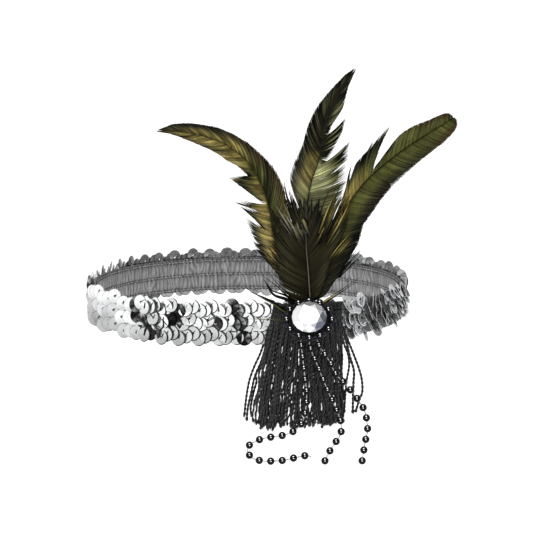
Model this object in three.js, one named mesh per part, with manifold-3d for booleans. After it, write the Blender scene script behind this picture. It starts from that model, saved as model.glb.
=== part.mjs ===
// Flapper feather headband, in millimetres.
// Origin: middle of the head opening at half the height of the band.
// +X is the wearer's left as seen from the front, -Y is the front and +Z is up.

import * as THREE from 'three';
import { mergeVertices } from 'three/addons/utils/BufferGeometryUtils.js';
import Module from 'manifold-3d';

const wasm = await Module();
wasm.setup();

const degrees = Math.PI / 180;

// Gap between pieces that touch
const clearance = 0.3;

// Elastic band: a ring that is round at the sides and back and flat in front
const bandRadius = 82.7;
const bandFrontDistance = 75.5;
const bandCornerSharpness = 40;
const elasticThickness = 1.2;
const elasticHeight = 18.4;
const stitchInset = 1.2;
const gatherDepth = 0.8;
const gatherCount = 40;

// Sequin layer on the outside of the elastic
const sequinHeight = 25.5;
const sequinBackThickness = 1.0;
const sequinRelief = 1.0;
const sequinScallopDepth = 1.3;
const sequinTeeth = 32;

// Place of the medallion, from the band's middle, and its lean backwards
const medallionX = 31.8;
const medallionZ = 2.6;
const medallionLean = 24 * degrees;

// Medallion backing
const backingWidth = 25.2;
const backingHeight = 21.4;
const backingThickness = 1.1;

// Beads, shared by the ring and the hanging strings
const beadDiameter = 4.0;
const threadDiameter = 0.9;
const beadSides = 10;

// Ring of beads round the stone
const beadRingWidth = 23.5;
const beadRingHeight = 19.6;
const beadRingCount = 12;

// Cut stone: round, slightly oval, standing over the beads
const stoneWidth = 18.0;
const stoneHeight = 16.5;
const stoneRise = 0.5;
const stonePavilionDepth = 4.3;
const stoneGirdleThickness = 0.5;
const stoneCrownHeight = 2.6;
const stoneBackShare = 0.55;
const stoneTableShare = 0.6;
const stoneStarShare = 0.83;

// Fringe: header tape and hanging locks
const fringeCenterX = 31.2;
const fringeWidth = 34.5;
const fringeHeaderTop = 10.2;
const fringeHeaderHeight = 5.0;
const fringeLayerThickness = 1.5;
const fringeLayerOverlap = 0.2;
const fringeLength = 65.0;
const fringeLockWidth = 4.6;
const fringeLockFootWidth = 3.6;
const fringeSpreadBow = 0.25;

// Feathers
const vaneThickness = 0.7;
const vaneEdgeThickness = 0.5;
const quillWidth = 1.9;
const quillThickness = 0.9;
const quillTipWidth = 0.6;
const quillTipThickness = 0.75;
const featherLayerPitch = quillThickness + clearance + 0.05;

// Hanging bead strings: chosen points [x, z] below the medallion, and where each leaves its rim.
// firstBead is how far down its thread the first bead sits, endThread is the bare thread past the last.
const strandRoutes = {
  bead_strand_left: {
    leaves: -4.4,
    beads: 19,
    firstBead: 2.6,
    endThread: 3.4,
    points: [
      [28.3, -14.3], [29.6, -26.2], [30.6, -36.0], [28.6, -49.2], [25.0, -53.8],
      [19.1, -56.6], [12.2, -57.7], [5.3, -59.4], [-0.2, -63.5], [1.8, -68.3],
      [7.3, -70.3], [13.3, -70.4], [18.8, -70.0], [24.4, -68.7], [29.8, -67.6], [33.0, -68.0],
    ],
  },
  bead_strand_middle: {
    leaves: 0.0,
    beads: 12,
    firstBead: 3.6,
    endThread: 0.0,
    points: [
      [32.5, -10.9], [36.8, -21.6], [41.4, -33.0], [46.4, -44.3], [48.4, -50.6],
      [48.2, -56.0], [45.6, -60.5], [42.5, -65.3], [40.1, -70.3],
    ],
  },
  bead_strand_right: {
    leaves: 4.4,
    beads: 13,
    firstBead: 2.6,
    endThread: 0.0,
    points: [
      [37.0, -9.6], [42.8, -18.6], [45.2, -23.8], [53.1, -32.8], [60.1, -42.9],
      [61.7, -48.9], [62.1, -54.4], [61.0, -60.0], [59.4, -70.3],
    ],
  },
};

// Locks of the fringe. top and foot are shares of half the header's width from its middle,
// drop is a share of the fringe's length.
const frontLocks = [
  { top: -0.88, foot: -1.82, drop: 0.93 },
  { top: -0.66, foot: -1.43, drop: 1.00 },
  { top: -0.44, foot: -1.00, drop: 0.99 },
  { top: -0.22, foot: -0.53, drop: 0.98 },
  { top: 0.00, foot: -0.04, drop: 0.95 },
  { top: 0.22, foot: 0.35, drop: 1.00 },
  { top: 0.44, foot: 0.74, drop: 0.98 },
  { top: 0.66, foot: 1.12, drop: 0.93 },
  { top: 0.88, foot: 1.50, drop: 0.78 },
];
const backLocks = [
  { top: -0.77, foot: -1.63, drop: 0.97 },
  { top: -0.55, foot: -1.23, drop: 0.96 },
  { top: -0.33, foot: -0.77, drop: 1.00 },
  { top: -0.11, foot: -0.30, drop: 0.97 },
  { top: 0.11, foot: 0.16, drop: 0.99 },
  { top: 0.33, foot: 0.54, drop: 0.96 },
  { top: 0.55, foot: 0.93, drop: 0.97 },
  { top: 0.77, foot: 1.32, drop: 0.90 },
];

// Feathers, from the one nearest the band to the front one.
// quillX is from the medallion's middle, length is the straight line from quill to tip,
// lean is towards +X, backBend is how far the tip stands behind the quill.
// Rachis points are [along, side] shares of the length. A vane row says where along the
// rachis its barb starts (root) and where the barb ends (along, side).
const feathers = {
  feather_center: {
    layer: 0, quillX: 0.1, length: 123.0, lean: 11.2 * degrees, backBend: 12.0,
    rachis: [
      [0, 0], [0.22, -0.048], [0.41, -0.087], [0.50, -0.090], [0.60, -0.077],
      [0.74, -0.082], [0.83, -0.068], [0.90, -0.040], [1, 0],
    ],
    left: [
      { root: 0.10, along: 0.175, side: -0.060 },
      { root: 0.27, along: 0.320, side: -0.100 },
      { root: 0.36, along: 0.403, side: -0.125 },
      { root: 0.41, along: 0.486, side: -0.178 },
      { root: 0.45, along: 0.550, side: -0.182 },
      { root: 0.55, along: 0.657, side: -0.155 },
      { root: 0.65, along: 0.750, side: -0.147 },
      { root: 0.74, along: 0.850, side: -0.110 },
      { root: 0.81, along: 0.920, side: -0.070 },
      { root: 0.97, along: 1.000, side: -0.004 },
    ],
    right: [
      { root: 0.13, along: 0.165, side: -0.010 },
      { root: 0.27, along: 0.316, side: 0.005 },
      { root: 0.38, along: 0.440, side: 0.033 },
      { root: 0.46, along: 0.540, side: 0.050 },
      { root: 0.49, along: 0.610, side: 0.040 },
      { root: 0.50, along: 0.530, side: -0.026 },
      { root: 0.52, along: 0.640, side: 0.037 },
      { root: 0.56, along: 0.700, side: 0.036 },
      { root: 0.57, along: 0.590, side: -0.056 },
      { root: 0.63, along: 0.681, side: -0.017 },
      { root: 0.68, along: 0.792, side: -0.001 },
      { root: 0.69, along: 0.700, side: -0.060 },
      { root: 0.75, along: 0.827, side: -0.020 },
      { root: 0.85, along: 0.926, side: -0.014 },
      { root: 0.97, along: 1.000, side: 0.004 },
    ],
  },
  feather_left: {
    layer: 1, quillX: -2.0, length: 117.5, lean: -40.5 * degrees, backBend: 6.0,
    rachis: [
      [0, 0], [0.14, 0.033], [0.26, 0.064], [0.34, 0.104], [0.41, 0.146], [0.48, 0.179],
      [0.60, 0.212], [0.66, 0.213], [0.78, 0.183], [0.84, 0.149], [0.90, 0.101], [1, 0],
    ],
    left: [
      { root: 0.05, along: 0.121, side: -0.013 },
      { root: 0.17, along: 0.276, side: -0.007 },
      { root: 0.22, along: 0.365, side: 0.005 },
      { root: 0.23, along: 0.330, side: 0.018 },
      { root: 0.30, along: 0.463, side: 0.047 },
      { root: 0.31, along: 0.400, side: 0.075 },
      { root: 0.37, along: 0.512, side: 0.061 },
      { root: 0.38, along: 0.470, side: 0.103 },
      { root: 0.41, along: 0.542, side: 0.056 },
      { root: 0.43, along: 0.480, side: 0.140 },
      { root: 0.51, along: 0.642, side: 0.106 },
      { root: 0.54, along: 0.605, side: 0.172 },
      { root: 0.61, along: 0.705, side: 0.148 },
      { root: 0.72, along: 0.820, side: 0.109 },
      { root: 0.83, along: 0.920, side: 0.055 },
      { root: 0.97, along: 1.000, side: -0.005 },
    ],
    right: [
      { root: 0.05, along: 0.103, side: 0.076 },
      { root: 0.12, along: 0.198, side: 0.134 },
      { root: 0.25, along: 0.350, side: 0.204 },
      { root: 0.35, along: 0.450, side: 0.262 },
      { root: 0.42, along: 0.554, side: 0.286 },
      { root: 0.51, along: 0.661, side: 0.277 },
      { root: 0.62, along: 0.782, side: 0.242 },
      { root: 0.75, along: 0.901, side: 0.161 },
      { root: 0.88, along: 0.980, side: 0.070 },
      { root: 0.97, along: 1.000, side: 0.006 },
    ],
  },
  feather_right: {
    layer: 2, quillX: 2.1, length: 120.5, lean: 37.7 * degrees, backBend: 3.0,
    rachis: [
      [0, 0], [0.09, -0.050], [0.17, -0.086], [0.26, -0.112], [0.36, -0.131], [0.44, -0.144],
      [0.52, -0.148], [0.60, -0.141], [0.68, -0.123], [0.77, -0.098], [0.86, -0.068],
      [0.93, -0.040], [1, -0.016],
    ],
    left: [
      { root: 0.09, along: 0.140, side: -0.090 },
      { root: 0.17, along: 0.233, side: -0.118 },
      { root: 0.27, along: 0.341, side: -0.148 },
      { root: 0.38, along: 0.472, side: -0.194 },
      { root: 0.43, along: 0.530, side: -0.209 },
      { root: 0.48, along: 0.601, side: -0.227 },
      { root: 0.54, along: 0.708, side: -0.226 },
      { root: 0.575, along: 0.800, side: -0.212 },
      { root: 0.59, along: 0.595, side: -0.152 },
      { root: 0.64, along: 0.712, side: -0.155 },
      { root: 0.68, along: 0.787, side: -0.154 },
      { root: 0.75, along: 0.852, side: -0.137 },
      { root: 0.83, along: 0.916, side: -0.100 },
      { root: 0.94, along: 0.992, side: -0.057 },
      { root: 0.98, along: 1.003, side: -0.028 },
    ],
    right: [
      { root: 0.055, along: 0.072, side: 0.020 },
      { root: 0.13, along: 0.156, side: 0.013 },
      { root: 0.22, along: 0.240, side: 0.003 },
      { root: 0.32, along: 0.350, side: -0.017 },
      { root: 0.38, along: 0.404, side: -0.039 },
      { root: 0.48, along: 0.506, side: -0.039 },
      { root: 0.58, along: 0.606, side: -0.042 },
      { root: 0.65, along: 0.699, side: -0.028 },
      { root: 0.73, along: 0.779, side: -0.012 },
      { root: 0.81, along: 0.853, side: 0.007 },
      { root: 0.89, along: 0.927, side: 0.022 },
      { root: 0.95, along: 0.975, side: 0.022 },
      { root: 0.985, along: 1.002, side: 0.000 },
    ],
  },
  feather_front: {
    layer: 3, quillX: 0.8, length: 53.5, lean: -2.6 * degrees, backBend: -3.0,
    rachis: [[0, 0], [0.27, -0.006], [0.60, -0.017], [1, 0]],
    left: [
      { root: 0.02, along: 0.08, side: -0.20 },
      { root: 0.09, along: 0.24, side: -0.31 },
      { root: 0.20, along: 0.45, side: -0.35 },
      { root: 0.34, along: 0.69, side: -0.34 },
      { root: 0.44, along: 0.96, side: -0.34 },
      { root: 0.50, along: 0.83, side: -0.22 },
      { root: 0.56, along: 0.68, side: -0.10 },
      { root: 0.65, along: 1.24, side: -0.20 },
      { root: 0.74, along: 1.00, side: -0.07 },
      { root: 0.96, along: 1.02, side: -0.02 },
    ],
    right: [
      { root: 0.03, along: 0.11, side: 0.10 },
      { root: 0.15, along: 0.41, side: 0.21 },
      { root: 0.25, along: 0.57, side: 0.30 },
      { root: 0.38, along: 0.87, side: 0.40 },
      { root: 0.50, along: 0.80, side: 0.16 },
      { root: 0.62, along: 1.03, side: 0.125 },
      { root: 0.75, along: 0.98, side: 0.05 },
      { root: 0.96, along: 1.01, side: 0.012 },
    ],
  },
};

// Materials
const materials = {
  elastic: new THREE.MeshStandardMaterial({ color: 0x7d7d80, roughness: 0.9 }),
  sequins: new THREE.MeshStandardMaterial({ color: 0xd2d4d6, roughness: 0.2, metalness: 0.9 }),
  fringe: new THREE.MeshStandardMaterial({ color: 0x18181a, roughness: 0.6 }),
  featherGold: new THREE.MeshStandardMaterial({ color: 0x6e6234, roughness: 0.6 }),
  featherOlive: new THREE.MeshStandardMaterial({ color: 0x4e5630, roughness: 0.6 }),
  featherDark: new THREE.MeshStandardMaterial({ color: 0x28241a, roughness: 0.6 }),
  backing: new THREE.MeshStandardMaterial({ color: 0x0c0d14, roughness: 0.9 }),
  stone: new THREE.MeshStandardMaterial({ color: 0xf2f4f6, roughness: 0.05, metalness: 0.3 }),
  beads: new THREE.MeshStandardMaterial({ color: 0x08080a, roughness: 0.1 }),
};

// Turns a list of triangles over if they face inwards
function faceOutwards(geometry) {
  const position = geometry.getAttribute('position');
  const index = geometry.getIndex();
  const corners = [new THREE.Vector3(), new THREE.Vector3(), new THREE.Vector3()];
  let volume = 0;
  for (let i = 0; i < index.count; i += 3) {
    corners.forEach((corner, k) => corner.fromBufferAttribute(position, index.getX(i + k)));
    volume += corners[0].dot(corners[1].clone().cross(corners[2]));
  }
  if (volume < 0) {
    for (let i = 0; i < index.count; i += 3) {
      const first = index.getX(i);
      index.setX(i, index.getX(i + 1));
      index.setX(i + 1, first);
    }
  }
  return geometry;
}

function geometryFrom(points, triangles) {
  const geometry = new THREE.BufferGeometry();
  geometry.setAttribute('position', new THREE.Float32BufferAttribute(points.flatMap((p) => p.toArray()), 3));
  geometry.setIndex(triangles.flat());
  return faceOutwards(geometry);
}

// Skin through loops of points, with flat ends, or closed on itself as a ring
function loft(loops, closed = false) {
  const size = loops[0].length;
  const triangles = [];
  const lastSpan = closed ? loops.length : loops.length - 1;
  for (let i = 0; i < lastSpan; i += 1) {
    const here = i * size;
    const next = ((i + 1) % loops.length) * size;
    for (let j = 0; j < size; j += 1) {
      const after = (j + 1) % size;
      triangles.push([here + j, here + after, next + after], [here + j, next + after, next + j]);
    }
  }
  if (!closed) {
    const end = (loops.length - 1) * size;
    for (let j = 1; j < size - 1; j += 1) {
      triangles.push([0, j + 1, j], [end, end + j, end + j + 1]);
    }
  }
  return geometryFrom(loops.flat(), triangles);
}

// Booleans
function solidFrom(geometry) {
  const bare = new THREE.BufferGeometry();
  bare.setAttribute('position', geometry.getAttribute('position').clone());
  if (geometry.getIndex()) bare.setIndex(geometry.getIndex().clone());
  const merged = mergeVertices(bare, 1e-4);
  return new wasm.Manifold(new wasm.Mesh({
    numProp: 3,
    vertProperties: new Float32Array(merged.getAttribute('position').array),
    triVerts: new Uint32Array(merged.getIndex().array),
  }));
}

function fuse(geometries) {
  const joined = geometries.map(solidFrom).reduce((sum, solid) => sum.add(solid));
  const mesh = joined.getMesh();
  const geometry = new THREE.BufferGeometry();
  geometry.setAttribute('position', new THREE.BufferAttribute(new Float32Array(mesh.vertProperties), 3));
  geometry.setIndex(new THREE.BufferAttribute(new Uint32Array(mesh.triVerts), 1));
  return geometry;
}

function piece(name, geometry, material) {
  const mesh = new THREE.Mesh(geometry, material);
  mesh.name = name;
  return mesh;
}

// Plan of the band: distance from the middle at an angle from the front, for a wall that lies
// `outwards` from the elastic's inner face
function planRadius(angle, outwards) {
  const round = bandRadius + outwards;
  const facing = Math.cos(angle);
  if (facing <= 0) return round;
  const flat = (bandFrontDistance + outwards) / facing;
  const sum = round ** -bandCornerSharpness + flat ** -bandCornerSharpness;
  return sum ** (-1 / bandCornerSharpness);
}

function planPoint(angle, outwards, z) {
  const radius = planRadius(angle, outwards);
  return new THREE.Vector3(radius * Math.sin(angle), -radius * Math.cos(angle), z);
}

// Distance of the band's face in front of the middle, at a given x
const bandThickness = elasticThickness + clearance + sequinBackThickness + sequinRelief;

function bandFaceAt(x, outwards) {
  let low = 0;
  let high = Math.PI / 2;
  for (let step = 0; step < 40; step += 1) {
    const middle = (low + high) / 2;
    if (planRadius(middle, outwards) * Math.sin(middle) < Math.abs(x)) low = middle;
    else high = middle;
  }
  return planRadius(low, outwards) * Math.cos(low);
}

// The same for a flat strip of this half width, so that it clears the curve along its width
function bandFaceBehind(x, halfWidth) {
  return bandFaceAt(Math.max(Math.abs(x) - halfWidth, 0), bandThickness);
}

// Closed ring whose section, a list of { outwards, z }, may change from column to column
function ringWall(columns, sectionAt) {
  const loops = [];
  for (let column = 0; column < columns; column += 1) {
    const angle = (column / columns) * 2 * Math.PI;
    loops.push(sectionAt(column).map(({ outwards, z }) => planPoint(angle, outwards, z)));
  }
  return loft(loops, true);
}

// Elastic: two gathered channels between three rows of stitches on its inner face
function elasticGeometry() {
  const edge = elasticHeight / 2;
  const stitch = edge - stitchInset;
  const puff = stitch / 2;
  return ringWall(2 * gatherCount, (column) => {
    const depth = column % 2 ? gatherDepth : gatherDepth / 4;
    return [
      { outwards: elasticThickness, z: -edge },
      { outwards: elasticThickness, z: edge },
      { outwards: 0, z: stitch },
      { outwards: -depth, z: puff },
      { outwards: 0, z: 0 },
      { outwards: -depth, z: -puff },
      { outwards: 0, z: -stitch },
    ];
  });
}

// Sequins: three rows that overlap like shingles, with a scalloped edge above and below
function sequinGeometry() {
  const columnsPerTooth = 3;
  const inner = elasticThickness + clearance;
  const base = inner + sequinBackThickness;
  const edge = sequinHeight / 2;
  const row = sequinHeight / 3;
  const tooth = (column, shift) => ((column + shift) % columnsPerTooth) / (columnsPerTooth - 1);
  return ringWall(columnsPerTooth * sequinTeeth, (column) => {
    const top = tooth(column, 0);
    const middle = tooth(column, 1);
    const bottom = tooth(column, 2);
    const scallop = (share) => edge - sequinScallopDepth * Math.abs(2 * share - 1);
    return [
      { outwards: inner, z: -edge + sequinScallopDepth },
      { outwards: base, z: -scallop(bottom) },
      { outwards: base + sequinRelief * (0.4 + 0.6 * bottom), z: -row },
      { outwards: base + 0.4 * sequinRelief * middle, z: -row / 2 },
      { outwards: base + sequinRelief * (0.4 + 0.6 * middle), z: 0 },
      { outwards: base + 0.4 * sequinRelief * top, z: row / 2 },
      { outwards: base + sequinRelief * (0.4 + 0.6 * top), z: row },
      { outwards: base, z: scallop(top) },
      { outwards: inner, z: edge - sequinScallopDepth },
    ];
  });
}

// Fringe: one header tape bent along the band, with two layers of locks fused to it
function fringeLock({ top, foot, drop }, nearFace, farFace) {
  const half = fringeWidth / 2;
  const topX = fringeCenterX + top * half;
  const footX = fringeCenterX + foot * half;
  const innerX = Math.min(Math.abs(topX), Math.abs(footX));
  const face = bandFaceBehind(innerX, fringeLockWidth / 2);
  const stations = 6;
  const loops = [];
  for (let i = 0; i < stations; i += 1) {
    const down = i / (stations - 1);
    const x = topX + (footX - topX) * down * (1 + fringeSpreadBow * (1 - down));
    const width = fringeLockWidth + (fringeLockFootWidth - fringeLockWidth) * down ** 3;
    const z = fringeHeaderTop - clearance - (fringeLength * drop - clearance) * down;
    loops.push([
      new THREE.Vector3(x - width / 2, -(face + nearFace), z),
      new THREE.Vector3(x + width / 2, -(face + nearFace), z),
      new THREE.Vector3(x + width / 4, -(face + farFace), z),
      new THREE.Vector3(x - width / 4, -(face + farFace), z),
    ]);
  }
  return loft(loops);
}

function fringeGeometry() {
  const back = clearance;
  const middle = back + fringeLayerThickness;
  const front = middle + fringeLayerThickness;
  const steps = 8;
  const headerLoops = [];
  for (let i = 0; i <= steps; i += 1) {
    const x = fringeCenterX + fringeWidth * (i / steps - 0.5);
    const face = bandFaceBehind(x, fringeWidth / steps / 2);
    headerLoops.push([
      new THREE.Vector3(x, -(face + back), fringeHeaderTop),
      new THREE.Vector3(x, -(face + front), fringeHeaderTop),
      new THREE.Vector3(x, -(face + front), fringeHeaderTop - fringeHeaderHeight),
      new THREE.Vector3(x, -(face + back), fringeHeaderTop - fringeHeaderHeight),
    ]);
  }
  return fuse([
    loft(headerLoops),
    ...backLocks.map((lock) => fringeLock(lock, back + fringeLayerOverlap, middle)),
    ...frontLocks.map((lock) => fringeLock(lock, middle - fringeLayerOverlap, front - fringeLayerOverlap)),
  ]);
}

// Feathers: the middle surface of a feather at a point given by shares of its length
const medallionFace = bandFaceAt(medallionX, bandThickness);

function featherMiddle(feather, along, side) {
  const { layer, quillX, length, lean, backBend } = feather;
  const distance = medallionFace + clearance + quillThickness / 2 + layer * featherLayerPitch;
  return new THREE.Vector3(
    medallionX + quillX + length * (along * Math.sin(lean) + side * Math.cos(lean)),
    -distance + backBend * along * Math.abs(along),
    fringeHeaderTop + clearance + length * (along * Math.cos(lean) - side * Math.sin(lean)),
  );
}

function rachisCurve(feather) {
  return new THREE.CatmullRomCurve3(feather.rachis.map(([along, side]) => new THREE.Vector3(along, side, 0)));
}

function vaneGeometry(feather, rows) {
  const curve = rachisCurve(feather);
  return loft(rows.map(({ root, along, side }) => {
    const start = curve.getPointAt(root);
    const rootPoint = featherMiddle(feather, start.x, start.y);
    const edgePoint = featherMiddle(feather, along, side);
    const shift = (point, distance) => point.clone().add(new THREE.Vector3(0, distance, 0));
    return [
      shift(rootPoint, -vaneThickness / 2),
      shift(edgePoint, -vaneEdgeThickness / 2),
      shift(edgePoint, vaneEdgeThickness / 2),
      shift(rootPoint, vaneThickness / 2),
    ];
  }));
}

function rachisGeometry(feather) {
  const curve = rachisCurve(feather);
  const stations = 9;
  const sides = 6;
  const loops = [];
  for (let i = 0; i <= stations; i += 1) {
    const share = i / stations;
    const here = curve.getPointAt(share);
    const ahead = curve.getTangentAt(share);
    const middle = featherMiddle(feather, here.x, here.y);
    const direction = featherMiddle(feather, here.x + 0.01 * ahead.x, here.y + 0.01 * ahead.y).sub(middle);
    const across = new THREE.Vector3(direction.z, 0, -direction.x).normalize();
    const halfWidth = (quillWidth + (quillTipWidth - quillWidth) * share) / 2;
    const halfDepth = (quillThickness + (quillTipThickness - quillThickness) * share) / 2;
    const loop = [];
    for (let j = 0; j < sides; j += 1) {
      const turn = ((j + 0.5) / sides) * 2 * Math.PI;
      loop.push(middle.clone()
        .addScaledVector(across, halfWidth * Math.sin(turn))
        .add(new THREE.Vector3(0, halfDepth * Math.cos(turn) / Math.cos(Math.PI / sides), 0)));
    }
    loops.push(loop);
  }
  return loft(loops);
}

function featherGeometry(feather) {
  return fuse([
    rachisGeometry(feather),
    vaneGeometry(feather, feather.left),
    vaneGeometry(feather, feather.right),
  ]);
}

// Bead strings: one skin that swells from the thread to each bead and back
const beadProfile = [
  { along: -0.97, radius: threadDiameter / beadDiameter },
  { along: -0.40, radius: 0.95 },
  { along: 0.40, radius: 0.95 },
  { along: 0.97, radius: threadDiameter / beadDiameter },
];

function beadString({ centers, ends = [], closed = false, sideways }) {
  const count = centers.length;
  const loopAt = (center, direction, radius) => {
    const across = direction.clone().cross(sideways).normalize();
    return Array.from({ length: beadSides }, (_, j) => {
      const turn = (j / beadSides) * 2 * Math.PI;
      return center.clone()
        .addScaledVector(across, radius * Math.cos(turn))
        .addScaledVector(sideways, radius * Math.sin(turn));
    });
  };
  const loops = centers.flatMap((center, i) => {
    const before = closed ? centers.at(i - 1) : centers[i - 1] ?? ends[0];
    const after = closed ? centers[(i + 1) % count] : centers[i + 1] ?? ends[1] ?? center;
    const direction = after.clone().sub(before).normalize();
    return beadProfile.map(({ along, radius }) => {
      const reach = beadDiameter / 2;
      return loopAt(center.clone().addScaledVector(direction, along * reach), direction, radius * reach);
    });
  });
  if (ends[0]) {
    loops.unshift(loopAt(ends[0], centers[0].clone().sub(ends[0]), threadDiameter / 2));
  }
  if (ends[1]) {
    loops.push(loopAt(ends[1], ends[1].clone().sub(centers.at(-1)), threadDiameter / 2));
  }
  return loft(loops, closed);
}

// Medallion: its own frame has the backing's rear face at y = 0 and its front towards -Y
const backingTopReach = (backingHeight / 2) * Math.sin(medallionLean);
const frontFeatherFace = clearance + quillThickness + 3 * featherLayerPitch;
const medallionDistance = medallionFace + frontFeatherFace + clearance + backingTopReach;
const forward = new THREE.Vector3(0, -1, 0);

function backingGeometry() {
  const sides = 36;
  return new THREE.CylinderGeometry(1, 1, backingThickness, sides)
    .scale(backingWidth / 2, 1, backingHeight / 2)
    .translate(0, -backingThickness / 2, 0);
}

function beadRingGeometry() {
  const distance = backingThickness + clearance + beadDiameter / 2;
  const ellipse = new THREE.EllipseCurve(0, 0, beadRingHeight / 2, beadRingWidth / 2);
  ellipse.arcLengthDivisions = 720;
  const centers = Array.from({ length: beadRingCount }, (_, i) => {
    const point = ellipse.getPointAt(i / beadRingCount);
    return new THREE.Vector3(point.y, -distance, point.x);
  });
  return beadString({ centers, closed: true, sideways: forward });
}

// Stone: octagonal table, star facets, kites and girdle facets over a tapered back
function stoneGeometry() {
  const back = backingThickness + clearance;
  const girdle = back + stonePavilionDepth;
  const crown = girdle + stoneGirdleThickness;
  const table = crown + stoneCrownHeight;
  const starOnKite = (1 - stoneStarShare * Math.cos(Math.PI / 8)) / (1 - stoneTableShare);
  const star = crown + stoneCrownHeight * starOnKite;
  const ring = (count, shift, share, distance) => Array.from({ length: count }, (_, k) => {
    const turn = ((k + shift) / count) * 2 * Math.PI;
    return new THREE.Vector3(
      (stoneWidth / 2) * share * Math.sin(turn),
      -distance,
      stoneRise + (stoneHeight / 2) * share * Math.cos(turn),
    );
  });
  const points = [
    ...ring(16, 0, stoneBackShare, back),
    ...ring(16, 0, 1, girdle),
    ...ring(16, 0, 1, crown),
    ...ring(8, 0.5, stoneStarShare, star),
    ...ring(8, 0, stoneTableShare, table),
    new THREE.Vector3(0, -back, stoneRise),
    new THREE.Vector3(0, -table, stoneRise),
  ];
  const lower = (k) => k % 16;
  const middle = (k) => 16 + (k % 16);
  const upper = (k) => 32 + (k % 16);
  const starPoint = (k) => 48 + ((k + 8) % 8);
  const tablePoint = (k) => 56 + (k % 8);
  const triangles = [];
  for (let k = 0; k < 16; k += 1) {
    triangles.push([64, lower(k + 1), lower(k)]);
    triangles.push([lower(k), lower(k + 1), middle(k + 1)], [lower(k), middle(k + 1), middle(k)]);
    triangles.push([middle(k), middle(k + 1), upper(k + 1)], [middle(k), upper(k + 1), upper(k)]);
  }
  for (let k = 0; k < 8; k += 1) {
    triangles.push([upper(2 * k), upper(2 * k + 1), starPoint(k)]);
    triangles.push([upper(2 * k + 1), upper(2 * k + 2), starPoint(k)]);
    triangles.push([upper(2 * k), starPoint(k), tablePoint(k)]);
    triangles.push([upper(2 * k), tablePoint(k), starPoint(k - 1)]);
    triangles.push([tablePoint(k), starPoint(k), tablePoint(k + 1)]);
    triangles.push([tablePoint(k), tablePoint(k + 1), 65]);
  }
  return geometryFrom(points, triangles);
}

// Hanging strings leave the lower rim of the backing and hang in one upright plane
const strandDistance = medallionDistance + backingTopReach
  + (backingThickness / 2) * Math.cos(medallionLean);

function rimHeight(sideways) {
  const reach = (backingHeight / 2) * Math.sqrt(1 - (2 * sideways / backingWidth) ** 2);
  return medallionZ - reach * Math.cos(medallionLean);
}

function strandGeometry({ leaves, beads, firstBead, endThread, points }) {
  const top = rimHeight(leaves) - clearance;
  const route = [[medallionX + leaves, top], ...points];
  const curve = new THREE.CatmullRomCurve3(
    route.map(([x, z]) => new THREE.Vector3(x, -strandDistance, z)),
    false,
    'centripetal',
  );
  curve.arcLengthDivisions = 800;
  const length = curve.getLength();
  const beaded = length - firstBead - endThread;
  const centers = Array.from({ length: beads }, (_, i) => (
    curve.getPointAt((firstBead + (beaded * i) / (beads - 1)) / length)
  ));
  const ends = [curve.getPoint(0)];
  if (endThread > 0) ends.push(curve.getPoint(1));
  return beadString({ centers, ends, sideways: forward });
}

const headband = new THREE.Group();
headband.add(piece('band_elastic', elasticGeometry(), materials.elastic));
headband.add(piece('sequin_layer', sequinGeometry(), materials.sequins));
headband.add(piece('fringe', fringeGeometry(), materials.fringe));

const featherMaterials = {
  feather_center: materials.featherGold,
  feather_left: materials.featherGold,
  feather_right: materials.featherOlive,
  feather_front: materials.featherDark,
};
for (const [name, feather] of Object.entries(feathers)) {
  headband.add(piece(name, featherGeometry(feather), featherMaterials[name]));
}

const medallion = new THREE.Group();
medallion.position.set(medallionX, -medallionDistance, medallionZ);
medallion.rotation.x = -medallionLean;
medallion.add(piece('medallion_backing', backingGeometry(), materials.backing));
medallion.add(piece('bead_ring', beadRingGeometry(), materials.beads));
medallion.add(piece('rhinestone', stoneGeometry(), materials.stone));
headband.add(medallion);

for (const [name, strand] of Object.entries(strandRoutes)) {
  headband.add(piece(name, strandGeometry(strand), materials.beads));
}

export default headband;
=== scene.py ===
# Flapper feather headband: the look of every surface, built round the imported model's frame.
# Sizes are in millimetres unless a name says otherwise, and become metres when a mesh is made.
import math

import bpy
import numpy as np
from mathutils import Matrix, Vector


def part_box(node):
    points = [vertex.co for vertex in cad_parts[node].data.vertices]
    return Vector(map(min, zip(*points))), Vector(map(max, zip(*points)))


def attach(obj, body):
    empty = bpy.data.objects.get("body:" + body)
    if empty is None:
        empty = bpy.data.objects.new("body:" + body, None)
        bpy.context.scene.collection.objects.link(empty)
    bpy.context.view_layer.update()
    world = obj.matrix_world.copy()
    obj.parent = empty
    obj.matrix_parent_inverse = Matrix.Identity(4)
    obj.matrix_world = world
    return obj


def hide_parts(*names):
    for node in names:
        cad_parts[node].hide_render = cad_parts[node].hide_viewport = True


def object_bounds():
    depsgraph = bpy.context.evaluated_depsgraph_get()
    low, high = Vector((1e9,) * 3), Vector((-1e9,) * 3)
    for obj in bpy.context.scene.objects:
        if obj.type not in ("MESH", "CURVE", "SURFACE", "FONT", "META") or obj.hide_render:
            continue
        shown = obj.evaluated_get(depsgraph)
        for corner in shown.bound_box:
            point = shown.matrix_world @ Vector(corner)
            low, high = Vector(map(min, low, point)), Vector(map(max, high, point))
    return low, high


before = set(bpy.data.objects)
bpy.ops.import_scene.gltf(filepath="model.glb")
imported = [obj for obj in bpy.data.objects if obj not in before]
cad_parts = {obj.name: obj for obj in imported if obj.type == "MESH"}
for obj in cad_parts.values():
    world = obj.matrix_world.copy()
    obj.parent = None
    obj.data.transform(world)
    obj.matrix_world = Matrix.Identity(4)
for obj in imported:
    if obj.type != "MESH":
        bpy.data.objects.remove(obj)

cad_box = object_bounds()

MM = 0.001
BODY = "root"


def from_frame(node):
    """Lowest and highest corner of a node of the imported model, in millimetres"""
    low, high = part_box(node)
    return np.array(low) / MM, np.array(high) / MM


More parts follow.
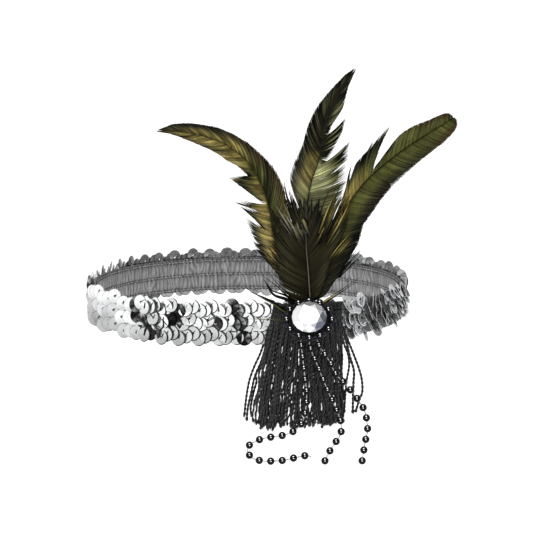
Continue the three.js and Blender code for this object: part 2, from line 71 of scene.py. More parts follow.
# Band: a ring that is round at the sides and back and flat in front
ELASTIC_THICKNESS = 1.2
CORNER_SHARPNESS = 40
elastic_low, elastic_high = from_frame("band_elastic")
BAND_RADIUS = elastic_high[0] - ELASTIC_THICKNESS
BAND_FRONT = -elastic_low[1] - ELASTIC_THICKNESS
ELASTIC_HEIGHT = elastic_high[2] - elastic_low[2]
STITCH_INSET = 2.0
PUFF_PITCH = 2.4
PUFF_DEPTH = 0.85

# Sequins, in three sewn rows
SEQUIN_LAYER_THICKNESS = 3.5 - ELASTIC_THICKNESS
SEQUIN_DIAMETER = 8.0
SEQUIN_HOLE = 1.1
SEQUIN_THICKNESS = 0.12
SEQUIN_CUP = 0.28
SEQUIN_PITCH = 3.35
ROW_SPACING = 7.2
ROW_ZIGZAG = 1.55
BACK_ZIGZAG = 1.55
BACK_LIFT = 2.0

# Medallion, leaning backwards
MEDALLION_LEAN = math.radians(24)
BACKING_THICKNESS = 1.1
backing_low, backing_high = from_frame("medallion_backing")
MEDALLION_NORMAL = np.array([0, -math.cos(MEDALLION_LEAN), math.sin(MEDALLION_LEAN)])
MEDALLION_UP = np.array([0, math.sin(MEDALLION_LEAN), math.cos(MEDALLION_LEAN)])
MEDALLION_RIGHT = np.array([1.0, 0, 0])
MEDALLION = (backing_low + backing_high) / 2 - MEDALLION_NORMAL * BACKING_THICKNESS / 2
BACKING_WIDTH = backing_high[0] - backing_low[0]
BACKING_HEIGHT = 21.4

# Beads
BEAD_DIAMETER = 4.0
BEAD_BORE = 1.0
THREAD_DIAMETER = 0.55
RING_WIDTH = 23.5
RING_HEIGHT = 19.6
RING_BEADS = 12
CLEARANCE = 0.3

# Fringe
FRINGE_CENTER_X = 31.2
FRINGE_WIDTH = 34.5
FRINGE_TOP = from_frame("fringe")[1][2]
FRINGE_LENGTH = 65.0
FRINGE_HEADER_HEIGHT = 5.0
FRINGE_DEPTH = 3.3
FRINGE_BOW = 0.25
CORD_RADIUS = 0.52
STRAY_CORD_RADIUS = 0.62
CORD_TWIST_PITCH = 2.6
CORD_STEPS = 78

# Feathers
QUILL_THICKNESS = 0.9
FEATHER_LAYER_PITCH = 1.25
BARB_PITCH = 0.34
BARB_HALF_WIDTH = 0.26
BARB_HALF_THICKNESS = 0.13
BARB_STEPS = 9
BARB_BOW = 0.11
# Barbs draw together in this many clumps on a feather of this length
CLUMPS, CLUMPS_ALONG = 34, 120


def unit(vectors):
    return vectors / np.maximum(np.linalg.norm(vectors, axis=-1, keepdims=True), 1e-9)


def ease(share):
    share = np.clip(share, 0, 1)
    return share * share * (3 - 2 * share)


def wander(x, seed):
    """Smooth random values from -1 to 1 along x, with one new value per unit"""
    values = np.random.default_rng(seed).uniform(-1, 1, 4096)
    cell = np.floor(x).astype(int)
    share = ease(x - cell)
    return values[cell % 4096] * (1 - share) + values[(cell + 1) % 4096] * share


# Curves


def smooth_curve(points, steps=40):
    """Centripetal Catmull-Rom curve through chosen points, as a fine polyline"""
    points = np.asarray(points, float)
    padded = np.vstack([2 * points[0] - points[1], points, 2 * points[-1] - points[-2]])
    share = np.linspace(0, 1, steps, endpoint=False)[:, None]
    line = []
    for a, b, c, d in zip(padded, padded[1:], padded[2:], padded[3:]):
        before, here, after = (math.sqrt(np.linalg.norm(q - p)) for p, q in ((a, b), (b, c), (c, d)))
        leave = here * ((b - a) / before - (c - a) / (before + here) + (c - b) / here)
        arrive = here * ((c - b) / here - (d - b) / (here + after) + (d - c) / after)
        line.append(
            b
            + leave * share
            + (3 * (c - b) - 2 * leave - arrive) * share**2
            + (2 * (b - c) + leave + arrive) * share**3
        )
    return np.vstack([*line, points[-1:]])


def travelled(line):
    """Length along a polyline at each of its points"""
    return np.concatenate([[0], np.cumsum(np.linalg.norm(np.diff(line, axis=0), axis=1))])


def along(line, lengths):
    """Points of a polyline at given lengths from its start"""
    done = travelled(line)
    return np.stack([np.interp(lengths, done, line[:, k]) for k in range(line.shape[1])], -1)


def table_curve(rows, at):
    """Values of a short table, a column at a time, straight between its rows"""
    rows = np.asarray(rows, float)
    return np.stack([np.interp(at, rows[:, 0], rows[:, k]) for k in range(1, rows.shape[1])], -1)


# Meshes


class Pile:
    """Collects closed bodies and turns them into one object"""

    def __init__(self):
        self.points, self.quads, self.triangles, self.tints = [], [], [], []
        self.count = 0

    def add(self, points, quads, triangles, tints):
        points = np.asarray(points, float).reshape(-1, 3)
        self.points.append(points)
        self.quads.append(np.asarray(quads, int).reshape(-1, 4) + self.count)
        self.triangles.append(np.asarray(triangles, int).reshape(-1, 3) + self.count)
        self.tints.append(np.broadcast_to(np.asarray(tints, float), points.shape))
        self.count += len(points)

    def make(self, name, material, replaces=(), smooth=True):
        points = np.concatenate(self.points) * MM
        quads = np.concatenate(self.quads)
        triangles = np.concatenate(self.triangles)
        tints = np.concatenate(self.tints)
        corners = np.concatenate([quads.ravel(), triangles.ravel()])
        starts = np.concatenate(
            [np.arange(len(quads)) * 4, quads.size + np.arange(len(triangles)) * 3]
        )
        mesh = bpy.data.meshes.new(name)
        mesh.vertices.add(len(points))
        mesh.vertices.foreach_set("co", points.ravel())
        mesh.loops.add(len(corners))
        mesh.loops.foreach_set("vertex_index", corners)
        mesh.polygons.add(len(starts))
        mesh.polygons.foreach_set("loop_start", starts)
        mesh.polygons.foreach_set("use_smooth", np.full(len(starts), smooth))
        mesh.update(calc_edges=True)
        tint = mesh.color_attributes.new("tint", "FLOAT_COLOR", "POINT")
        tint.data.foreach_set("color", np.hstack([tints, np.ones((len(tints), 1))]).ravel())
        mesh.materials.append(material)
        piece = bpy.data.objects.new(name, mesh)
        bpy.context.scene.collection.objects.link(piece)
        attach(piece, BODY)
        if replaces:
            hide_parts(*replaces)
        return piece


def round_section(radius, sides, turn=0.0, lobes=0, lobe_depth=0.0):
    """Section of a tube as offsets across and upwards. radius and turn have a value per step."""
    angle = np.arange(sides) / sides * 2 * math.pi
    swell = 1 + lobe_depth * np.cos(lobes * (angle - np.asarray(turn, float)[..., None]))
    reach = np.asarray(radius, float)[..., None] * swell
    return np.stack([reach * np.cos(angle), reach * np.sin(angle)], -1)


def tubes(paths, section, reference):
    """Closed tubes along a stack of paths, (tubes, steps, 3). section is (..., sides, 2)."""
    paths = np.asarray(paths, float)
    count, steps, _ = paths.shape
    sides = section.shape[-2]
    ahead = unit(np.gradient(paths, axis=1))
    across = unit(np.cross(ahead, reference))
    upwards = np.cross(ahead, across)
    section = np.broadcast_to(section, (count, steps, sides, 2))
    ring = (
        paths[:, :, None]
        + section[..., :1] * across[:, :, None]
        + section[..., 1:] * upwards[:, :, None]
    )
    points = np.concatenate([ring.reshape(count, -1, 3), paths[:, :1], paths[:, -1:]], axis=1)
    step = np.arange(steps - 1)[:, None] * sides
    side = np.arange(sides)
    here = step + side
    after = step + (side + 1) % sides
    quads = np.stack([here, after, after + sides, here + sides], -1).reshape(-1, 4)
    first = steps * sides
    last_ring = (steps - 1) * sides
    turn = (side + 1) % sides
    triangles = np.concatenate([
        np.stack([np.full(sides, first), turn, side], -1),
        np.stack([np.full(sides, first + 1), last_ring + side, last_ring + turn], -1),
    ])
    shift = (np.arange(count) * points.shape[1])[:, None, None]
    return points.reshape(-1, 3), (quads + shift).reshape(-1, 4), (triangles + shift).reshape(-1, 3)


def tube_tints(tints, sides):
    """Tints of a stack of tubes, (tubes, steps, 3), spread over the points that tubes() makes"""
    ring = np.repeat(tints, sides, axis=1)
    return np.concatenate([ring, tints[:, :1], tints[:, -1:]], axis=1).reshape(-1, 3)


def ring_faces(columns, rows):
    """Quads of a skin that is closed both ways, as round a band"""
    column = np.arange(columns)[:, None]
    row = np.arange(rows)[None, :]
    after, above = (column + 1) % columns, (row + 1) % rows
    return np.stack(
        [column * rows + row, after * rows + row, after * rows + above, column * rows + above], -1
    ).reshape(-1, 4)


# Plan of the band


def plan_radius(angle, outwards):
    round_reach = BAND_RADIUS + outwards
    facing = np.maximum(np.cos(angle), 1e-3)
    flat_reach = (BAND_FRONT + outwards) / facing
    blended = (round_reach**-CORNER_SHARPNESS + flat_reach**-CORNER_SHARPNESS) ** (
        -1 / CORNER_SHARPNESS
    )
    return np.where(np.cos(angle) > 1e-3, blended, round_reach)


def plan_point(angle, outwards, height):
    radius = plan_radius(angle, outwards)
    parts = np.broadcast_arrays(radius * np.sin(angle), -radius * np.cos(angle), height)
    return np.stack(parts, -1)


plan_angles = np.linspace(-math.pi, math.pi, 3601)
plan_lengths = travelled(plan_point(plan_angles, ELASTIC_THICKNESS, 0.0))
BAND_LENGTH = plan_lengths[-1]


def angle_at(length):
    """Angle from the front at a length along the band, from the middle of its back"""
    return np.interp(np.asarray(length) % BAND_LENGTH, plan_lengths, plan_angles)


def band_face(x, outwards):
    """Distance in front of the middle of a wall that lies outwards from the elastic's inner face"""
    line = plan_point(np.linspace(0, math.pi / 2, 900), outwards, 0.0)
    return np.interp(np.abs(x), line[:, 0], -line[:, 1])


# Materials

# The way that the stone's facets with the darkest painted reflection face
STONE_SHADED_SIDE = (0.85, 0.0, -0.55)


def colour(red, green, blue):
    """A screen colour, 0 to 255, as linear light"""
    screen = np.array([red, green, blue]) / 255
    return np.where(screen <= 0.04045, screen / 12.92, ((screen + 0.055) / 1.055) ** 2.4)


class Finish:
    """A principled material with the few nodes that every finish here needs"""

    def __init__(self, name, **sockets):
        self.material = bpy.data.materials.new(name)
        self.material.use_nodes = True
        self.tree = self.material.node_tree
        self.shader = self.tree.nodes["Principled BSDF"]
        for socket, value in sockets.items():
            self.shader.inputs[socket.replace("_", " ")].default_value = value

    def node(self, kind, settings=None, **inputs):
        made = self.tree.nodes.new("ShaderNode" + kind)
        for key, value in (settings or {}).items():
            setattr(made, key, value)
        for key, value in inputs.items():
            socket = made.inputs[key.replace("_", " ")]
            if isinstance(value, bpy.types.NodeSocket):
                self.tree.links.new(value, socket)
            else:
                socket.default_value = value
        return made

    def place(self):
        return self.node("TexCoord").outputs["Object"]

    def noise(self, scale, detail=3.0, stretch=(1, 1, 1)):
        """Noise with its scale in repeats per metre"""
        mapping = self.node("Mapping", Vector=self.place(), Scale=stretch)
        return self.node(
            "TexNoise", Vector=mapping.outputs["Vector"], Scale=scale, Detail=detail
        ).outputs["Fac"]

    def spread(self, value, low, high, floor=0.3, ceiling=0.7):
        """Maps a noise value from floor..ceiling to low..high"""
        return self.node(
            "MapRange", Value=value, From_Min=floor, From_Max=ceiling, To_Min=low, To_Max=high
        ).outputs["Result"]

    def product(self, first, second):
        mixed = self.node("Mix", {"data_type": "RGBA", "blend_type": "MULTIPLY"})
        mixed.inputs["Factor"].default_value = 1.0
        for socket, value in ((mixed.inputs[6], first), (mixed.inputs[7], second)):
            if isinstance(value, bpy.types.NodeSocket):
                self.tree.links.new(value, socket)
            else:
                socket.default_value = (*value, 1.0)
        return mixed.outputs[2]

    def tint(self):
        return self.node("Attribute", {"attribute_name": "tint"}).outputs["Color"]

    def drive(self, socket, value):
        self.tree.links.new(value, self.shader.inputs[socket])

    def bump(self, height, depth, strength=1.0):
        made = self.node("Bump", Height=height, Distance=depth * MM, Strength=strength)
        self.drive("Normal", made.outputs["Normal"])


def elastic_finish():
    finish = Finish("gathered_elastic", Roughness=0.85, Sheen_Weight=0.15)
    threads = finish.noise(900, 3.0, (1, 1, 0.25))
    blotches = finish.noise(90, 2.0)
    shade = finish.product(finish.tint(), finish.spread(threads, 0.72, 1.25))
    finish.drive("Base Color", finish.product(shade, finish.spread(blotches, 0.9, 1.1)))
    finish.bump(threads, 0.12)
    return finish.material


def sequin_finish():
    finish = Finish("silver_sequin", Metallic=0.92)
    smears = finish.noise(350, 3.0)
    scratches = finish.noise(2500, 2.0)
    finish.drive("Base Color", finish.product(finish.tint(), finish.spread(smears, 0.9, 1.06)))
    finish.drive("Roughness", finish.spread(scratches, 0.16, 0.32))
    finish.bump(smears, 0.05, 0.5)
    return finish.material


def feather_finish(name):
    finish = Finish(name, Specular_IOR_Level=0.06)
    strands = finish.noise(1500, 3.0)
    patches = finish.noise(140, 3.0)
    shade = finish.product(finish.tint(), finish.spread(strands, 0.78, 1.22))
    finish.drive("Base Color", finish.product(shade, finish.spread(patches, 0.85, 1.15)))
    finish.drive("Roughness", finish.spread(patches, 0.38, 0.6))
    finish.bump(strands, 0.08)
    return finish.material


def cord_finish(name, roughness):
    finish = Finish(name, Roughness=roughness, Specular_IOR_Level=0.2)
    fibres = finish.noise(1500, 3.0)
    finish.drive("Base Color", finish.product(finish.tint(), finish.spread(fibres, 0.2, 1.9)))
    finish.bump(fibres, 0.08)
    return finish.material


def bead_finish():
    finish = Finish("black_glass", Specular_IOR_Level=0.1)
    cloud = finish.noise(700, 2.0)
    finish.drive("Base Color", finish.product(finish.tint(), finish.spread(cloud, 0.8, 1.2)))
    finish.drive("Roughness", finish.spread(cloud, 0.03, 0.06))
    return finish.material


def felt_finish():
    finish = Finish("black_felt", Roughness=0.95, Sheen_Weight=0.2)
    fuzz = finish.noise(2200, 4.0)
    dark = colour(12, 13, 20)
    finish.drive("Base Color", finish.product(tuple(dark), finish.spread(fuzz, 0.5, 1.6)))
    finish.bump(fuzz, 0.25)
    return finish.material


def stone_finish():
    """Foil-backed cut glass: each facet takes a painted reflection tone of its own from the way it
    faces
    """
    finish = Finish("cut_glass", Metallic=0.7, Coat_Weight=1.0, Coat_Roughness=0.0)
    facing = finish.node("NewGeometry").outputs["True Normal"]
    shifted = finish.node("VectorMath", {"operation": "ADD"}, Vector=facing)
    shifted.inputs[1].default_value = (0.031, 0.017, 0.023)
    steps = finish.node("VectorMath", {"operation": "SNAP"}, Vector=shifted.outputs["Vector"])
    steps.inputs[1].default_value = (0.11, 0.11, 0.11)
    random = finish.node("TexWhiteNoise", Vector=steps.outputs["Vector"]).outputs["Value"]
    turned = finish.node("VectorMath", {"operation": "DOT_PRODUCT"}, Vector=facing)
    turned.inputs[1].default_value = STONE_SHADED_SIDE
    painted_facet_reflection = finish.node("Math", {"operation": "MULTIPLY_ADD"}, Value=random)
    painted_facet_reflection.inputs[1].default_value = 0.5
    finish.tree.links.new(turned.outputs["Value"], painted_facet_reflection.inputs[2])
    # Painted reflection: a white table, light grey facets and dark blue-grey facets towards
    # STONE_SHADED_SIDE
    ramp = finish.node("ValToRGB", Fac=painted_facet_reflection.outputs["Value"])
    ramp.color_ramp.elements[0].position = 0.18
    ramp.color_ramp.elements[0].color = (*colour(250, 250, 251), 1)
    ramp.color_ramp.elements[1].position = 0.72
    ramp.color_ramp.elements[1].color = (*colour(78, 84, 102), 1)
    ramp.color_ramp.elements.new(0.3).color = (*colour(216, 217, 220), 1)
    cloud = finish.noise(260, 1.0)
    finish.drive("Base Color", finish.product(ramp.outputs["Color"], finish.spread(cloud, 0.92, 1.05)))
    finish.drive("Roughness", finish.spread(cloud, 0.03, 0.09))
    return finish.material


# Camera, floor and light

CAMERA_DISTANCE = 1630.0
CAMERA_ELEVATION = math.radians(9.6)
FRAME_PIXELS = 533
FOCAL_PIXELS = 2988
SENSOR_WIDTH = 36.0
AIM_RIGHT = 10.4
AIM_UP = 16.9
FLOOR_GAP = 45.0
FLOOR_REACH = 9.0
LIGHT_TARGET = Vector((0.02, -0.06, 0.02))


def make_camera():
    data = bpy.data.cameras.new("camera")
    data.sensor_width = SENSOR_WIDTH
    data.lens = FOCAL_PIXELS / FRAME_PIXELS * SENSOR_WIDTH
    data.clip_start, data.clip_end = 0.05, 60
    camera = bpy.data.objects.new("camera", data)
    bpy.context.scene.collection.objects.link(camera)
    lift = math.sin(CAMERA_ELEVATION), math.cos(CAMERA_ELEVATION)
    camera.location = Vector((0, -CAMERA_DISTANCE * lift[1], CAMERA_DISTANCE * lift[0])) * MM
    aim = Vector((AIM_RIGHT, AIM_UP * lift[0], AIM_UP * lift[1])) * MM
    camera.rotation_euler = (aim - camera.location).to_track_quat("-Z", "Y").to_euler()
    bpy.context.scene.camera = camera


def make_light(name, place, size, power, receivers=()):
    """A round soft light. Where it has receivers, it lights only those pieces."""
    data = bpy.data.lights.new(name, "AREA")
    data.shape = "DISK"
    data.size = size
    data.energy = power
    light = bpy.data.objects.new(name, data)
    light.location = place
    light.rotation_euler = (LIGHT_TARGET - light.location).to_track_quat("-Z", "Y").to_euler()
    bpy.context.scene.collection.objects.link(light)
    if receivers:
        lit = bpy.data.collections.new(name + "_receivers")
        for piece in receivers:
            lit.objects.link(piece)
        light.light_linking.receiver_collection = lit
        light.visible_camera = False


def make_world():
    """Even white studio light that falls off towards the right-hand side"""
    world = bpy.data.worlds.new("studio")
    world.use_nodes = True
    tree = world.node_tree
    background = tree.nodes["Background"]
    background.inputs["Color"].default_value = (1, 1, 1, 1)
    place = tree.nodes.new("ShaderNodeTexCoord")
    split = tree.nodes.new("ShaderNodeSeparateXYZ")
    fall = tree.nodes.new("ShaderNodeMapRange")
    fall.interpolation_type = "SMOOTHSTEP"
    for socket, value in (("From Min", 0.0), ("From Max", 0.95), ("To Min", 0.82), ("To Max", 0.5)):
        fall.inputs[socket].default_value = value
    tree.links.new(place.outputs["Generated"], split.inputs[0])
    tree.links.new(split.outputs["X"], fall.inputs["Value"])
    tree.links.new(fall.outputs["Result"], background.inputs["Strength"])
    bpy.context.scene.world = world


def make_floor():
    finish = Finish("pale_floor", Roughness=0.7)
    finish.shader.inputs["Base Color"].default_value = (0.93, 0.93, 0.93, 1)
    finish.shader.inputs["Emission Color"].default_value = (1, 1, 1, 1)
    finish.shader.inputs["Emission Strength"].default_value = 0.45
    height = cad_box[0].z - FLOOR_GAP * MM
    mesh = bpy.data.meshes.new("floor")
    square = ((-1, -1), (1, -1), (1, 1), (-1, 1))
    corners = [(x * FLOOR_REACH, y * FLOOR_REACH, height) for x, y in square]
    mesh.from_pydata(corners, [], [(0, 1, 2, 3)])
    mesh.materials.append(finish.material)
    floor = bpy.data.objects.new("floor", mesh)
    bpy.context.scene.collection.objects.link(floor)


make_camera()
make_world()
make_light("key_light", (-0.75, -1.25, 0.85), 0.34, 3.4)
make_light("second_light", (0.35, -1.35, 0.95), 0.3, 1.6)
make_light("top_light", (0.0, 0.1, 1.5), 1.0, 2.6)
make_floor()
bpy.context.scene.view_settings.view_transform = "Standard"


# Elastic


def make_elastic():
    """Inner face gathered into puffs between three rows of stitches, with painted shade in the creases
    between puffs and near the stitches; outer face plain in shape, painted dark as shade where it shows
    between sequins and lighter at the left
    """
    puffs = round(BAND_LENGTH / PUFF_PITCH)
    steps_per_puff = 6
    columns = puffs * steps_per_puff
    length = np.arange(columns) / columns * BAND_LENGTH
    angle = angle_at(length)
    edge = ELASTIC_HEIGHT / 2
    stitch = edge - STITCH_INSET
    inner_rows = 25
    heights = np.concatenate([np.linspace(edge, -edge, inner_rows), [-edge, -edge / 3, edge / 3, edge]])
    rows = len(heights)
    lift = np.zeros((columns, rows))
    shade = np.ones((columns, rows))
    for row in range(inner_rows):
        height = heights[row]
        channel = 0 if height > 0 else 1
        share = np.clip(abs(height) / stitch, 0, 1)
        arch = max(math.sin(math.pi * share), 0) ** 0.55
        sway = 0.55 * wander(length / 6.5 + 0.9 * share, 11 + channel)
        sway = sway + 0.22 * wander(length / 2.3 - 0.7 * share, 13 + channel)
        phase = length / PUFF_PITCH + sway
        fold = np.abs(np.sin(math.pi * phase)) ** 0.8
        size = 0.72 + 0.28 * wander(np.floor(phase) * 1.7, 21 + channel)
        puff = arch * (0.25 + 0.75 * fold) * size
        ruffle = (1 - arch) * 0.16 * np.sin(2 * math.pi * phase * 1.5)
        lift[:, row] = -PUFF_DEPTH * puff + ruffle
        # Painted shade: darker in the creases between puffs and towards the stitches
        painted_crease_shade = 0.36 + 0.64 * fold * (0.35 + 0.65 * arch)
        strands = 1 + 0.24 * wander(length / 0.62 + 1.3 * share, 61 + channel)
        shade[:, row] = painted_crease_shade * strands * (0.93 + 0.07 * wander(length / 1.1, 31 + row))
    # Painted shade on the outer face, which shows only in gaps between sequins; lighter at the left of
    # the band
    painted_outer_wall_shade = np.interp(np.degrees(angle), [-100, -90, -50, -40], [0.3, 0.9, 0.9, 0.3])
    shade[:, inner_rows:] = painted_outer_wall_shade[:, None]
    outwards = np.concatenate([np.zeros(inner_rows), np.full(rows - inner_rows, ELASTIC_THICKNESS)])
    wave = np.where(np.abs(heights) >= edge, 0.22, 0) * np.sin(length * 2.1)[:, None]
    points = plan_point(angle[:, None], outwards + lift, heights + wave)
    quads = ring_faces(columns, rows)
    pile = Pile()
    pile.add(points, quads[:, ::-1], [], (shade[..., None] * colour(154, 154, 155)).reshape(-1, 3))
    elastic = pile.make("elastic_gathered", elastic_finish(), ["band_elastic"])
    return elastic, stitch


def make_stitches(stitch):
    """Three light seam threads that hold the gathers, with dark stitches along both sides of each"""
    seam_height = stitch + 0.8
    light, dark = colour(176, 176, 178), colour(26, 26, 28)
    # Height from the seam, half a stitch's length, its radius and its colour
    threads = ((0.0, 1.05, 0.19, light), (-0.75, 0.42, 0.24, dark), (0.7, 0.36, 0.22, dark))
    rows = [
        (seam + above, half, radius, tint)
        for seam in (seam_height, 0.0, -seam_height)
        for above, half, radius, tint in threads
    ]
    count = round(BAND_LENGTH / PUFF_PITCH)
    share = np.linspace(-1, 1, 5)
    pile = Pile()
    for seed, (height, half, radius, tint) in enumerate(rows):
        draw = np.random.default_rng(41 + seed)
        middle = (np.arange(count) + draw.uniform(-0.18, 0.18, count) + 0.3 * seed)[:, None]
        length = middle * BAND_LENGTH / count + share * half * draw.uniform(0.7, 1.1, (count, 1))
        tilt = draw.uniform(-0.25, 0.25, (count, 1))
        rise = -0.26 - 0.2 * (1 - share**2)
        paths = plan_point(angle_at(length), rise + 0 * length, height + tilt * share)
        section = round_section(radius * np.sqrt(np.maximum(1 - 0.85 * share**2, 0.1)), 6)
        shade = draw.uniform(0.6, 1.15, (count, 1, 1)) * np.ones((1, len(share), 1)) * tint
        pile.add(*tubes(paths, section, (0, 0, 1)), tube_tints(shade, 6))
    return pile.make("elastic_stitches", cord_finish("sewing_thread", 0.7))


elastic, stitch_height = make_elastic()
stitches = make_stitches(stitch_height)


# Sequins


def sequin_shape(sides=18):
    """One cupped disc with a hole, its front along +z: points, quads, how far out each point is as a
    share of the radius, its angle round the disc, and whether it is on the underside"""
    radius = SEQUIN_DIAMETER / 2
    out = np.array([SEQUIN_HOLE / SEQUIN_DIAMETER, 0.2, 0.6, 0.85, 0.89, 1.0])
    dish = SEQUIN_CUP * out**2
    shares = np.concatenate([out, out[::-1]])
    heights = np.concatenate([dish + SEQUIN_THICKNESS / 2, dish[::-1] - SEQUIN_THICKNESS / 2])
    angle = np.arange(sides) / sides * 2 * math.pi
    around = np.repeat(angle, len(shares))
    rim = np.tile(shares, sides)
    across, upwards = radius * rim * np.cos(around), radius * rim * np.sin(around)
    points = np.stack([across, upwards, np.tile(heights, sides)], -1)
    under = np.tile(np.arange(len(shares)) >= len(out), sides)
    return points, ring_faces(sides, len(shares)), rim, around, under


# Angle from the front, in degrees, and how far a sequin there turns towards the wearer's left
SEQUIN_TURN = (
    (-180, 6), (-102, 16), (-90, 24), (-75, 34), (-60, 32), (-46, 26), (-38, -4), (-10, -11), (18, -10),
    (28, 2), (38, 19), (66, 22), (80, 16), (95, 17), (180, 6),
)
# Angle from the front, then a sequin's tone there, which is painted light and shade round the band, how
# far its lean varies, the tone of its rim against its face, a painted shadow below 1 and a painted rim
# highlight above 1, and how far it looks up, in degrees
SEQUIN_TONE = (
    (-180, 0.74, 7, 0.55, 0), (-100, 0.6, 14, 0.5, 0), (-86, 0.66, 8, 0.7, 0), (-78, 0.82, 6, 0.75, 0),
    (-48, 0.92, 6, 0.7, 0), (-36, 0.96, 9, 0.03, 0), (15, 0.94, 9, 0.03, 0), (26, 0.6, 14, 1.3, 8),
    (38, 1.2, 20, 1.3, 20), (66, 1.35, 22, 1.3, 24), (82, 1.3, 20, 1.3, 14), (100, 0.74, 10, 0.8, 0),
    (180, 0.74, 7, 0.55, 0),
)
# Patches of sequins with a painted dark reflection: x and z of the middle and how far it reaches
PAINTED_DARK_REFLECTIONS = (
    (-56.0, 2.4, 5.6), (-36.0, 3.0, 4.4), (-51.5, 12.0, 2.8), (-47.5, -6.5, 3.2), (-6.0, 8.2, 4.6),
    (-5.5, -2.4, 4.8), (-2.5, -8.8, 2.8), (-17.0, 0.3, 2.6), (-27.0, -1.5, 1.8), (-86.0, 10.0, 4.4),
)
# Painted shade on a sequin's underside: its tone at the back of the band and at its front
PAINTED_UNDERSIDE_SHADE = (0.5, 0.8)
# Between these angles from the front every second sequin is left out, so that the holes show
SPARSE_FROM, SPARSE_TO = -88, -46
# Left of this angle the two lower rows are dimmer by this factor, as painted shade
PAINTED_END_SHADE_FROM, PAINTED_END_SHADE = -52, 0.84
# Angle round a disc of the side whose rim gets a painted shadow, and the tones of the three rows,
# darker towards the bottom row as painted shade
SEQUIN_SHADOW_SIDE = math.radians(-18)
PAINTED_ROW_SHADE = {"sequins_bottom": 0.64, "sequins_middle": 0.88, "sequins_top": 1.0}


def make_sequin_row(name, height, seed):
    draw = np.random.default_rng(seed)
    count = round(BAND_LENGTH / SEQUIN_PITCH)
    index = np.arange(count)
    length = (index + 0.5 * (seed % 2) + draw.uniform(-0.2, 0.2, count)) * BAND_LENGTH / count
    angle = angle_at(length)
    degrees = np.degrees(angle)
    kept = (degrees < SPARSE_FROM) | (degrees > SPARSE_TO) | (index % 2 == 0)
    index, angle, degrees = index[kept], angle[kept], degrees[kept]
    count = len(index)
    turn = table_curve(SEQUIN_TURN, degrees)[:, 0]
    tone, spread, outline, look_up = table_curve(SEQUIN_TONE, degrees).T
    turn = turn + spread * draw.normal(0, 0.55, count)
    nod = look_up + spread * draw.normal(0, 0.6, count)
    turn, nod = np.radians(turn)[:, None], np.radians(nod)[:, None]
    zigzag = np.interp(np.abs(degrees), [60, 110], [ROW_ZIGZAG, BACK_ZIGZAG])
    zigzag = zigzag * np.cos(2 * math.pi * index / 3 + 0.7 * wander(index / 7, seed + 1))
    zigzag = zigzag + draw.normal(0, 1, count) * np.where(degrees > 30, 0.9, 0.18)
    if height > 0:
        zigzag = zigzag + BACK_LIFT * ease((np.abs(degrees) - 90) / 40)
    middle = ELASTIC_THICKNESS + SEQUIN_LAYER_THICKNESS * 0.56 + 0.12 * (index % 2)
    middle = middle + 1.6 * np.maximum(np.sin(nod[:, 0]), 0)
    centers = plan_point(angle, middle, height + zigzag)
    sideways = unit(plan_point(angle + 0.01, middle, height + zigzag) - centers)
    upwards = np.array([0, 0, 1.0])
    outward = np.cross(sideways, upwards)
    facing = unit(outward * np.cos(turn) + sideways * np.sin(turn) + upwards * np.sin(nod))
    right = unit(np.cross(upwards, facing))
    up = np.cross(facing, right)
    shape, quads, rim, around, under = sequin_shape()
    points = (
        centers[:, None]
        + shape[None, :, :1] * right[:, None]
        + shape[None, :, 1:2] * up[:, None]
        + shape[None, :, 2:] * facing[:, None]
    )
    # Painted light and shade: each sequin's tone by its angle round the band, times the painted row
    # shade and a random tone
    shade = tone * np.where(np.abs(degrees) < 80, PAINTED_ROW_SHADE[name], 1) * draw.uniform(0.88, 1.05, count)
    shade = shade * np.where(degrees > 24, draw.uniform(0.4, 1.5, count), 1)
    # Painted shade: the lower rows are darker at the left end
    if height <= 0:
        shade = shade * np.where(degrees < PAINTED_END_SHADE_FROM, PAINTED_END_SHADE, 1)
    # Painted reflection: sequins in the patches are near black with a painted fan-shaped highlight
    dark = np.zeros(count, bool)
    for x, z, reach in PAINTED_DARK_REFLECTIONS:
        apart = np.hypot(centers[:, 0] - x, (centers[:, 2] - z) * 1.2) + draw.normal(0, 0.5, count)
        dark |= (centers[:, 1] < 0) & (apart < reach)
    painted_fan_highlight = np.clip(wander(around[None] * 1.6 + 50 * index[:, None], seed + 9), 0, 1) ** 2
    painted_reflection = draw.uniform(0.0, 0.03, (count, 1)) + 0.7 * painted_fan_highlight * rim
    shade = np.where(dark[:, None], painted_reflection, shade[:, None])
    # Painted shadow on each rim's shadow side, or a painted highlight round the whole rim where its
    # tone is above 1, and painted shade round the hole
    shadow = ease((np.cos(around - SEQUIN_SHADOW_SIDE) + 0.3) / 0.6)
    weight = np.where(outline[:, None] < 1, shadow, 1.0) * (rim > 0.87)
    edge = np.where(rim < 0.16, 0.12, 1 + (outline[:, None] - 1) * weight)
    # Painted shade on the undersides, darker at the back of the band
    painted_underside_shade = tone * np.where(np.abs(degrees) > 90, *PAINTED_UNDERSIDE_SHADE)
    tints = np.where(under, painted_underside_shade[:, None], shade) * edge
    tints = np.minimum(tints, 1)[..., None] * colour(250, 251, 252)
    pile = Pile()
    shift = (np.arange(count) * len(shape))[:, None, None]
    pile.add(points, (quads[None] + shift).reshape(-1, 4), [], tints.reshape(-1, 3))
    row = pile.make(name, sequin_material, ["sequin_layer"])
    return row, centers, facing, right, up


